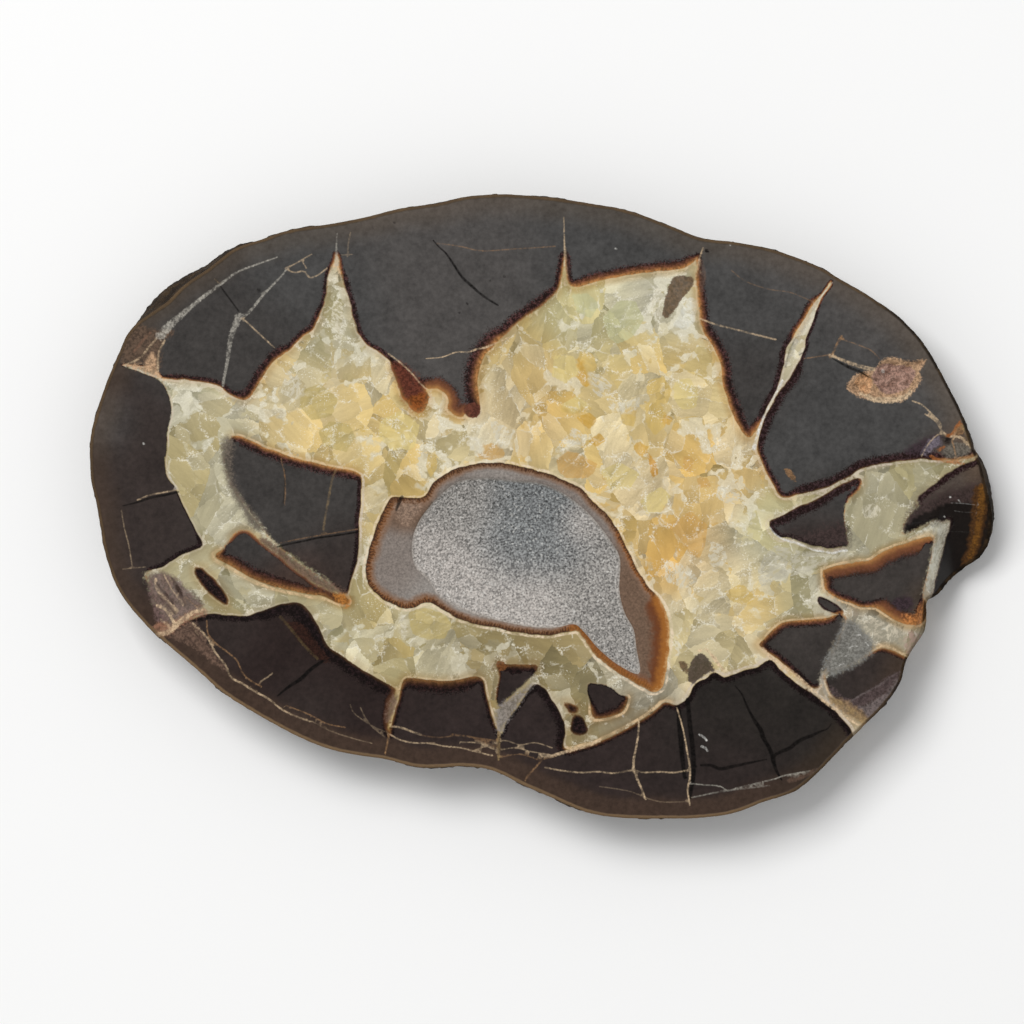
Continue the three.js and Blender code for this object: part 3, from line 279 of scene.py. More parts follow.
# Veins: finish, strength, width or widths along the way, points
veins = [
    ("greyCream", 0.75, [0.18, 0.25, 0.34, 0.48, 0.68, 1.1, 1.51], [(-36.3, 34.2), (-39.2, 33.2),
      (-42.1, 32), (-44.1, 30.5), (-46.7, 28.6), (-49.2, 26.5), (-51.2, 24.7), (-52.3, 23.6)]),
    ("greyCream", 0.7, [0.19, 0.27, 0.41, 0.62], [(-34.9, 32.8), (-35.6, 31.8), (-37.9, 29.4),
      (-40.4, 26.5), (-41.6, 25.8)]),
    ("greyCream", 0.65, [1.1, 0.82, 0.62, 0.48, 0.41], [(-41.6, 26.1), (-42.7, 23.1), (-43.2, 19.8),
      (-43.8, 16.6)]),
    ("cream", 0.6, 0.22, [(-41, 25.8), (-38.9, 23.8), (-36.7, 21.8)]),
    ("cream", 0.6, 0.21, [(-35.2, 32.7), (-34, 32.1), (-32.7, 32.3), (-31.9, 31.4), (-30.7, 31.8),
      (-29.5, 32.7)]),
    ("cream", 0.45, 0.18, [(-35.2, 32.7), (-33.7, 33.4), (-32.7, 34), (-31.6, 34.6)]),
    ("cream", 0.4, 0.16, [(-33, 33.8), (-32.3, 32.7)]),
    ("cream", 0.35, 0.18, [(-44.9, 31.2), (-44.1, 30.5)]),
    ("cream", 0.25, 0.21, [(-26.3, 37.6), (-26.6, 35.7), (-26.7, 34.3)]),
    ("cream", 0.3, 0.16, [(-27.5, 34.5), (-26, 34.6)]),
    ("greyCream", 0.55, [0.68, 0.34, 0.21, 0.14], [(-28.2, 33.2), (-28.2, 34.9), (-28.2, 36.1),
      (-28.1, 37.5)]),
    ("cream", 0.9, [0.11, 0.16, 0.25, 0.3, 0.27], [(-15.9, 20.3), (-13.7, 20.5), (-12.6, 20.9),
      (-11.6, 21.2), (-9.9, 21.2), (-9, 21.6), (-7.9, 21.8), (-6.6, 22.3), (-4.7, 23.1)]),
    ("tan", 0.4, 0.18, [(-14.4, 36.1), (-11.2, 35.7), (-8.5, 35.1), (-4.4, 35.3), (1.8, 35.7)]),
    ("cream", 0.6, [0.3, 0.22, 0.18], [(3.1, 30.5), (3.1, 35.1), (3, 39.7)]),
    ("darkBrown", 0.6, [0.68, 0.48, 0.21], [(3.8, 30.9), (3.6, 32.9), (3.4, 35.4)]),
    ("cream", 0.6, [0.34, 0.27, 0.18], [(21.2, 31.6), (21.6, 34), (22.1, 35.5)]),
    ("greyBrown", 0.55, [0.68, 1.1, 0.68], [(21.9, 33.5), (22.1, 31.7), (21.9, 29.7)]),
    ("cream", 0.6, 0.25, [(21.6, 25.8), (23.8, 25), (25.8, 24.5), (28.5, 23.8), (32.1, 22.9)]),
    ("tan", 0.3, 0.16, [(26, 32.4), (27.8, 31), (31.2, 29.8), (34, 29.4), (37, 28.2)]),
    ("greyCream", 0.6, [0.16, 0.27, 0.55, 0.82, 0.82, 0.68], [(39.9, 30.8), (38.5, 29.1), (37.4, 27.5),
      (36.2, 25.3), (34.8, 22.5), (33.6, 19.8)]),
    ("white", 0.9, [0.34, 0.3, 0.3, 0.34, 0.41, 0.68], [(33, 17.3), (32.3, 15.9), (31.3, 14), (30.5, 12.4),
      (29.9, 10.8), (29.4, 9.1), (29.1, 8)]),
    ("tan", 0.8, 0.34, [(41.1, 23.4), (40.5, 22.3), (39.9, 21), (39.5, 20.5)]),
    ("cream", 0.8, [0.34, 0.41, 0.55, 0.55], [(39.5, 20.8), (40.8, 20.3), (42.2, 19.7), (43.8, 19.2),
      (45.6, 18.8)]),
    ("tan", 0.5, 0.18, [(36, 20.3), (37.4, 20.5), (39.2, 20.8)]),
    ("tan", 0.4, 0.19, [(41.6, 22.8), (43.6, 22.1), (45.2, 21.4), (46.3, 20.3)]),
    ("cream", 0.6, 0.22, [(50.8, 14.5), (52.1, 14), (53, 13.2), (53.8, 12.4), (54.7, 11.4), (54.8, 10.5),
      (55, 10.1)]),
    ("cream", 0.6, 0.22, [(52.6, 12.7), (54, 11.7), (54.5, 11)]),
    ("cream", 0.7, [0.55, 0.41], [(54.9, 10.2), (55.3, 9.9)]),
    ("cream", 0.75, [0.34, 0.41, 0.55], [(56.2, 9.6), (57.5, 9.5), (58.1, 8.8), (58.9, 8.2), (60.4, 7.5)]),
    ("orange", 0.8, 0.48, [(55.6, 9.7), (56.3, 9.9), (56.8, 10.8), (57.5, 11.7)]),
    ("tan", 0.7, 0.25, [(56.3, 9), (56.6, 7.9), (56.8, 6.9)]),
    ("orange", 0.75, 0.48, [(53.3, 6.9), (54.4, 6.4), (56.2, 6.1), (57.8, 5.9)]),
    ("white", 0.2, 0.14, [(55.1, -6.8), (56.2, -6.4), (57.4, -5.8)]),
    ("white", 0.25, 0.16, [(52.5, 5), (55.2, 6.1)]),
    ("cream", 0.9, [0.55, 0.48, 0.41], [(30.1, -19.4), (31.2, -20.5), (33.3, -22), (35.3, -23.5),
      (37, -25.1), (38.8, -26.8), (40.8, -28.2), (42.2, -29.2), (43.4, -29.9)]),
    ("yellowTan", 0.8, [0.55, 1.1, 1.37, 0.82], [(39.2, -26.1), (40.5, -26.9), (42.2, -28), (43.6, -29),
      (45.2, -29.9)]),
    ("greyCream", 0.5, [0.55, 0.68, 0.41], [(38.4, -22.4), (38.5, -23.8), (38.9, -25.4), (39.3, -26.5)]),
    ("cream", 0.8, [0.27, 0.27, 0.36, 0.33, 0.21], [(13.3, -29.5), (13.2, -31.3), (13, -32.7),
      (12.6, -34.7), (12.6, -35.8), (13, -37.2), (13.7, -38.8), (14.2, -40.2)]),
    ("cream", 0.7, [0.21, 0.21, 0.27, 0.27, 0.21], [(18.5, -27.6), (19.2, -29.9), (19.6, -31.7), (20, -34),
      (20.3, -35.8), (20.3, -37.2), (20, -38.8), (20.3, -41)]),
    ("cream", 0.55, 0.23, [(0.4, -35.8), (2.5, -36.2), (5.2, -36.5), (7.9, -36.4), (10, -36.6),
      (12.3, -36.2), (14.1, -36.5), (16.2, -36.4), (18.2, -36.5), (19.9, -36.2)]),
    ("tan", 0.65, 0.27, [(0.1, -34.7), (-0.8, -35.7), (-1.8, -36.8), (-2.5, -37.9)]),
    ("cream", 0.2, 0.16, [(7.9, -38.4), (12.1, -39.1), (14.1, -39.9), (16.2, -40.5), (20, -40.5)]),
    ("cream", 0.75, 0.48, [(-0.3, -34.3), (1.1, -34.3), (2.5, -33.9), (3.8, -33.5), (5.2, -33.1),
      (6.6, -32.7), (7.9, -32.1)]),
    ("yellowTan", 0.8, [0.48, 0.41, 0.34], [(-5.9, -31), (-5.9, -32.7), (-6, -34.7)]),
    ("cream", 0.5, 0.3, [(-20.7, -30.2), (-19.5, -30.3), (-17.8, -30.9), (-16.7, -31.3)]),
    ("tan", 0.35, 0.18, [(-16.7, -31.3), (-14.4, -31.7), (-11.2, -31.4), (-8.5, -31.8), (-6.4, -32.1)]),
    ("cream", 0.6, 0.21, [(-20.8, -31.3), (-19.5, -32), (-17.8, -32.4), (-15.3, -32.5), (-13.3, -32.9),
      (-11.2, -33.1), (-9.2, -33.6), (-6.8, -34.2)]),
    ("cream", 0.45, 0.16, [(-11.2, -32.3), (-8.5, -32.5), (-6.2, -33.4), (-3.7, -33.1), (-1.6, -33.6),
      (0.8, -34)]),
    ("cream", 0.4, 0.16, [(-9.2, -33.4), (-7.1, -32.7), (-5.1, -32.1), (-3, -32.7), (-1, -32.4),
      (1.4, -33.1)]),
    ("tan", 0.4, 0.16, [(-5.3, -34.3), (-3, -34), (-0.3, -34.7), (1.8, -34.3)]),
    ("tan", 0.45, 0.16, [(-12.3, -31.2), (-9.9, -31.6), (-7.8, -32.3), (-6, -33.1)]),
    ("tan", 0.75, [0.34, 0.27, 0.21], [(-21, -31.3), (-21.2, -32.5), (-21.6, -34.2)]),
    ("cream", 0.2, 0.16, [(-26.3, -27.2), (-25.9, -28.2), (-24.7, -29.2), (-22.9, -30.3), (-21.2, -31)]),
    ("cream", 0.2, 0.16, [(-24.9, -27.6), (-24.2, -29), (-23.3, -30.2), (-21.6, -31.6)]),
    ("cream", 0.25, 0.16, [(-31.5, -29.5), (-29, -30.8), (-26.3, -31.7), (-23.3, -32.5)]),
    ("cream", 0.55, 0.22, [(-50.1, 2.3), (-51.6, 2), (-53.7, 1.6), (-55.5, 0.9)]),
    ("cream", 0.3, 0.18, [(-57.7, -0.5), (-57.3, -2.9), (-56.7, -5.3), (-56.2, -8.3)]),
    ("cream", 0.3, 0.16, [(-57.5, -8.6), (-55.8, -8.4), (-54.4, -8.3)]),
    ("white", 0.45, 0.21, [(-51.2, 6.4), (-51.1, 4.3), (-50.1, 2.5)]),
    ("tan", 0.45, 0.21, [(-35.8, 6.6), (-35.3, 4.3), (-35.2, 2.3), (-35.3, 0.2)]),
    ("yellowTan", 0.35, 0.34, [(-28.2, 5.3), (-28.8, 3.6), (-29.3, 0.9), (-29.7, -1.2), (-30, -3.2)]),
    ("tan", 0.4, 0.18, [(-35.9, -5), (-32.5, -4.3), (-29, -3.7), (-25.3, -3.1)]),
    ("cream", 0.95, [0.41, 0.55, 0.55, 0.34], [(21.5, -19.8), (22.6, -19.7), (23.4, -20.5), (24.2, -21.6),
      (24.9, -22.4)]),
    ("cream", 0.5, 0.34, [(46.2, -19), (47.7, -19.2), (49, -19.9), (50.1, -20.6)]),
    ("black", 1, 0.68, [(-38.9, 29.7), (-38.8, 29.6)]),
    ("black", 0.7, 0.41, [(-5.2, 31.6), (-5.1, 31.5)]),
    ("black", 0.7, 0.34, [(-10.3, 27.9), (-10.2, 27.8)]),
    ("black", 0.7, 0.34, [(-11.4, 26.6), (-11.3, 26.6)]),
    ("black", 0.6, 0.34, [(-7.1, 31), (-7.1, 31)]),
    ("black", 0.5, 0.34, [(-23.3, 38.3), (-23.2, 38.2)]),
    ("black", 0.5, 0.34, [(-20.3, 39), (-20.2, 38.9)]),
    ("black", 1, 0.62, [(22.6, 35.1), (22.7, 35.1)]),
    ("white", 0.6, 0.34, [(10.1, 35.4), (10.2, 35.4)]),
    ("white", 0.6, 0.34, [(25.8, 36), (25.8, 35.9)]),
    ("white", 0.5, 0.34, [(-54.7, 8.7), (-54.6, 8.6)]),
    ("white", 0.4, 0.34, [(11.1, -28.7), (11.2, -28.8)]),
    ("white", 0.8, 0.55, [(46.8, 18.6), (46.9, 18.5)]),
    ("orange", 0.8, [0.55, 0.41], [(54.4, 7.7), (55.2, 8.2)]),
    ("tan", 0.75, 0.55, [(56.7, 6.5), (58.6, 6.8), (60.4, 7.4)]),
    ("yellowTan", 0.6, 0.55, [(57.7, 11.2), (58.4, 9.8), (59, 8.6), (60.4, 7.5)]),
    ("cream", 0.5, 0.21, [(52.1, 6.9), (52.6, 7.9), (53.2, 8.8), (54.1, 9.7), (54.9, 10.1)]),
    ("white", 0.3, 0.14, [(56.2, 0.5), (57.9, 0.4), (59.7, 0.2)]),
    ("white", 0.7, 0.34, [(56, 1.3), (56.1, 1.3)]),
    ("white", 0.6, 0.27, [(57.2, 0.9), (57.3, 0.8)]),
    ("white", 0.6, 0.3, [(55.3, -1.4), (55.4, -1.5)]),
    ("cream", 0.75, 0.41, [(-53, -9.9), (-52.9, -11.2), (-51.9, -12.4), (-50.8, -13.4), (-50, -14.3)]),
    ("cream", 0.8, 0.48, [(-52.8, -13.6), (-51.8, -14), (-51, -15), (-50.5, -16)]),
    ("cream", 0.6, 0.34, [(-52.3, -15.5), (-51.4, -16.2), (-50.7, -16.8)]),
    ("darkBrown", 0.95, [0.55, 0.82, 0.55], [(-52.9, -10.6), (-52.1, -11.7), (-51.2, -12.7),
      (-50.7, -13.4)]),
    ("darkBrown", 0.95, [0.55, 0.82, 0.55], [(-50.8, -9.9), (-49.9, -11.4), (-49, -13.4)]),
    ("darkBrown", 0.6, 0.55, [(-52.3, -12.5), (-51.2, -13.6), (-50.4, -14.7)]),
    ("cream", 0.45, 0.22, [(-51.8, -9.4), (-51.1, -10.8), (-50.1, -12.3), (-49.3, -13.6)]),
    ("darkBrown", 0.5, 0.41, [(-48.2, -11.2), (-47.4, -12.4), (-46.6, -13.4)]),
    ("tan", 0.5, 0.27, [(-48.8, -12.5), (-47.8, -13.4), (-46.4, -13.9)]),
    ("cream", 0.8, [0.68, 0.82, 0.68, 0.55], [(-53.2, -17.7), (-51.2, -17.2), (-50.1, -16.2), (-49, -15.3),
      (-47.8, -14.5), (-46.3, -14.2)]),
    ("tan", 0.65, 0.23, [(-46, -15.7), (-45.8, -17.5), (-44.7, -18.8), (-43, -20.1), (-41.8, -21.2),
      (-41.1, -22.8), (-40.1, -23.8), (-38.5, -24.7)]),
    ("cream", 0.65, [0.27, 0.3, 0.25], [(-47.9, -16), (-46, -17.9), (-44.7, -20.2), (-43.4, -21.8),
      (-42.7, -23.4), (-41.1, -24.3), (-39.5, -25.3), (-37.5, -26.4), (-35.6, -27.9), (-33.7, -28.8),
      (-31.8, -29.5)]),
    ("tan", 0.5, 0.19, [(-35.1, -27.3), (-31.8, -28.6), (-29.5, -29.8), (-27, -30.3)]),
    ("darkBrown", 0.6, 0.41, [(-48.2, -16.6), (-46.8, -18.3), (-45.8, -19.9)]),
    ("darkBrown", 0.5, 0.34, [(-49.3, -17.2), (-47.9, -18.7), (-46.8, -20.2)]),
    ("cream", 0.4, 0.21, [(-38.6, -24), (-37.8, -23.5), (-37, -22.9)]),
    ("olive", 0.7, 0.41, [(-35.9, -15.1), (-34.1, -17.2), (-32.6, -19.1), (-30.8, -20.9)]),
    ("cream", 0.55, [0.27, 0.34, 0.27], [(-52.2, 23.8), (-53.7, 22.1), (-55.3, 20.3), (-57, 19.5)]),
    ("cream", 0.6, 0.34, [(-51.8, 22.8), (-52.6, 20.9), (-52.7, 18.6)]),
    ("pinkTan", 0.35, 0.41, [(-53.7, 23.9), (-54.8, 22.7), (-56, 21.2)]),
    ("white", 0.5, 0.41, [(-51.9, 23.9), (-51.5, 24.5)]),
    ("white", 0.25, 0.14, [(56.7, -0.6), (58.1, -0.8), (59.5, -0.8)]),
    ("white", 0.25, 0.14, [(55.9, -3.4), (57.5, -3.5), (59.2, -3.5)]),
    ("greyCream", 0.6, 0.18, [(20.3, -38), (22.3, -38.2), (24.5, -38.4), (25.5, -39), (26.8, -38.6),
      (28.5, -38.2), (31, -37.6), (32.2, -37.3), (33.3, -36.9), (34.9, -36.6), (36.7, -36.3),
      (37.7, -36.3)]),
    ("greyCream", 0.35, 0.21, [(20.7, -39.9), (24.1, -39.2), (27.8, -38.7), (31.2, -38.3)]),
    ("greyBrown", 0.7, [0.82, 0.55], [(34, -37.6), (35.6, -37.1), (37, -36.4), (37.8, -36.1)]),
    ("ochreLight", 0.7, 0.41, [(38.2, -36.8), (40.1, -34.7), (42.2, -32.5), (44, -30.1)]),
    ("white", 0.8, 0.3, [(21.6, -31.3), (22.3, -31.7), (22.6, -32.1)]),
    ("white", 0.8, 0.34, [(21.9, -32.9), (22.5, -33.2), (22.7, -33.5)]),
    ("ochreLight", 0.6, [0.82, 1.23, 1.1, 0.82], [(60.3, 2.8), (60.5, 0.9), (60.4, -1.8), (59.9, -5.3),
      (59.3, -7.1)]),
    ("white", 0.9, [0.21, 0.33, 0.27, 0.36, 0.27], [(31.2, -2.8), (32.2, -4), (33.7, -4.7), (34.9, -5),
      (36.2, -5.5), (37.4, -6), (38.6, -6.2), (39.9, -6.4), (41, -6.1), (41.9, -6)]),
    ("lilac", 0.8, [0.27, 0.34, 0.27], [(42.2, -26.8), (44.1, -25.7), (46.3, -24.5), (48.6, -22.9)]),
    ("cream", 0.6, 0.22, [(-21.1, 21), (-19.5, 19.8), (-17.9, 18.3), (-16.6, 16.8), (-15.3, 15.7)]),
    # painted glints: short white dashes on the teal crystals
    ("white", 0.5, [0.18, 0.14], [(42.2, -19.4), (42.7, -19.1), (43.3, -19.2)]),
    ("white", 0.45, [0.18, 0.14], [(41.5, -20.6), (42.1, -20.3)]),
    ("white", 0.4, [0.18, 0.14], [(44.2, -18.4), (44.8, -19.1)]),
    ("white", 0.4, 0.18, [(40.8, -21.8), (41.4, -21.6)]),
    ("white", 0.5, 0.19, [(42.9, -17.7), (43.7, -17.6)]),
]
# Fine dark teeth across the ochre band, down its curve
for k in range(16):
    x, y = 60.5 - 0.13 * max(k - 7, 0), 2.5 - 0.63 * k
    veins.append(("ochreTooth", 0.8, 0.27, [(x, y), (x + 1.5, y + 0.15)]))
cracks = [
    (0.8, 0.27, [(-44.8, 31.2), (-43.3, 29.1), (-41.6, 26.8)]),
    (0.95, [0.21, 0.3, 0.41, 0.44, 0.27], [(-14.9, 36.5), (-14, 35.5), (-13.3, 34.9), (-12.3, 33.5),
      (-11.6, 32.4), (-10.8, 31.3), (-9.9, 30.5), (-8.8, 29.5), (-7.8, 28.7), (-6, 27.6)]),
    (1, [0.21, 0.48, 0.62, 0.62, 0.48], [(-36.3, -26), (-34.7, -24.7), (-33, -23.6), (-31.8, -22.4),
      (-30.1, -21.2)]),
    (1, [0.16, 0.27, 0.41, 0.62, 0.75, 0.62, 0.75, 0.48, 0.27], [(26.5, -24.6), (27.4, -25.7),
      (28.1, -27.3), (28.8, -28.7), (29.4, -29.7), (30, -30.6), (30.4, -31.8), (31, -32.8), (31.6, -34.2),
      (31.9, -35.5), (32.3, -36.5), (32.9, -37.5)]),
    (0.9, [0.34, 0.55, 0.55, 0.41, 0.21], [(21.8, -35.5), (23.2, -35.5), (24.5, -36), (26, -35.7),
      (27.4, -35.4), (28.8, -35.1), (30.8, -34.7)]),
    (0.9, [0.41, 0.62, 0.62, 0.55, 0.27, 0.14], [(31.8, -34.2), (32.9, -33.6), (34.1, -33.1), (34.9, -32.4),
      (36, -31.8), (37.1, -31.4), (38.1, -30.9), (39.2, -30.5), (39.7, -29.8)]),
    (1, [0.82, 0.82, 0.55], [(18.8, -28.2), (19, -31.3), (19.3, -34.7), (19.6, -37.2)]),
    (1, [0.68, 0.82, 0.55], [(20, -26.5), (20.3, -29.9), (20.7, -33.4), (20.8, -36.8), (20.3, -39.9)]),
    (0.9, [0.34, 0.41, 0.41, 0.14], [(-49.9, 2), (-51.6, 1.6), (-53.7, 1.2), (-55.5, 0.6), (-57.5, 0.1)]),
    (0.5, 0.27, [(-35.3, 5), (-35.3, 2.3), (-35.5, 0.5)]),
    (0.95, 0.3, [(-36.3, -5.5), (-34.5, -5.1), (-32.5, -4.7), (-30.7, -4.3), (-28.4, -4), (-25.3, -3.5)]),
    (0.5, [0.41, 0.14], [(33.4, 19.2), (34, 21.4), (34.8, 23.1)]),
    (0.9, [0.14, 0.48, 0.41, 0.14], [(39.9, 20.3), (41.9, 19.2), (43.8, 18.4), (45.1, 17.6)]),
    (0.6, 0.21, [(35.3, 20.8), (36.2, 21.4), (36.7, 22.5)]),
    (0.9, [0.55, 0.68, 0.34], [(-19.2, 1.3), (-19.5, 0.8), (-20, -0.5)]),
]
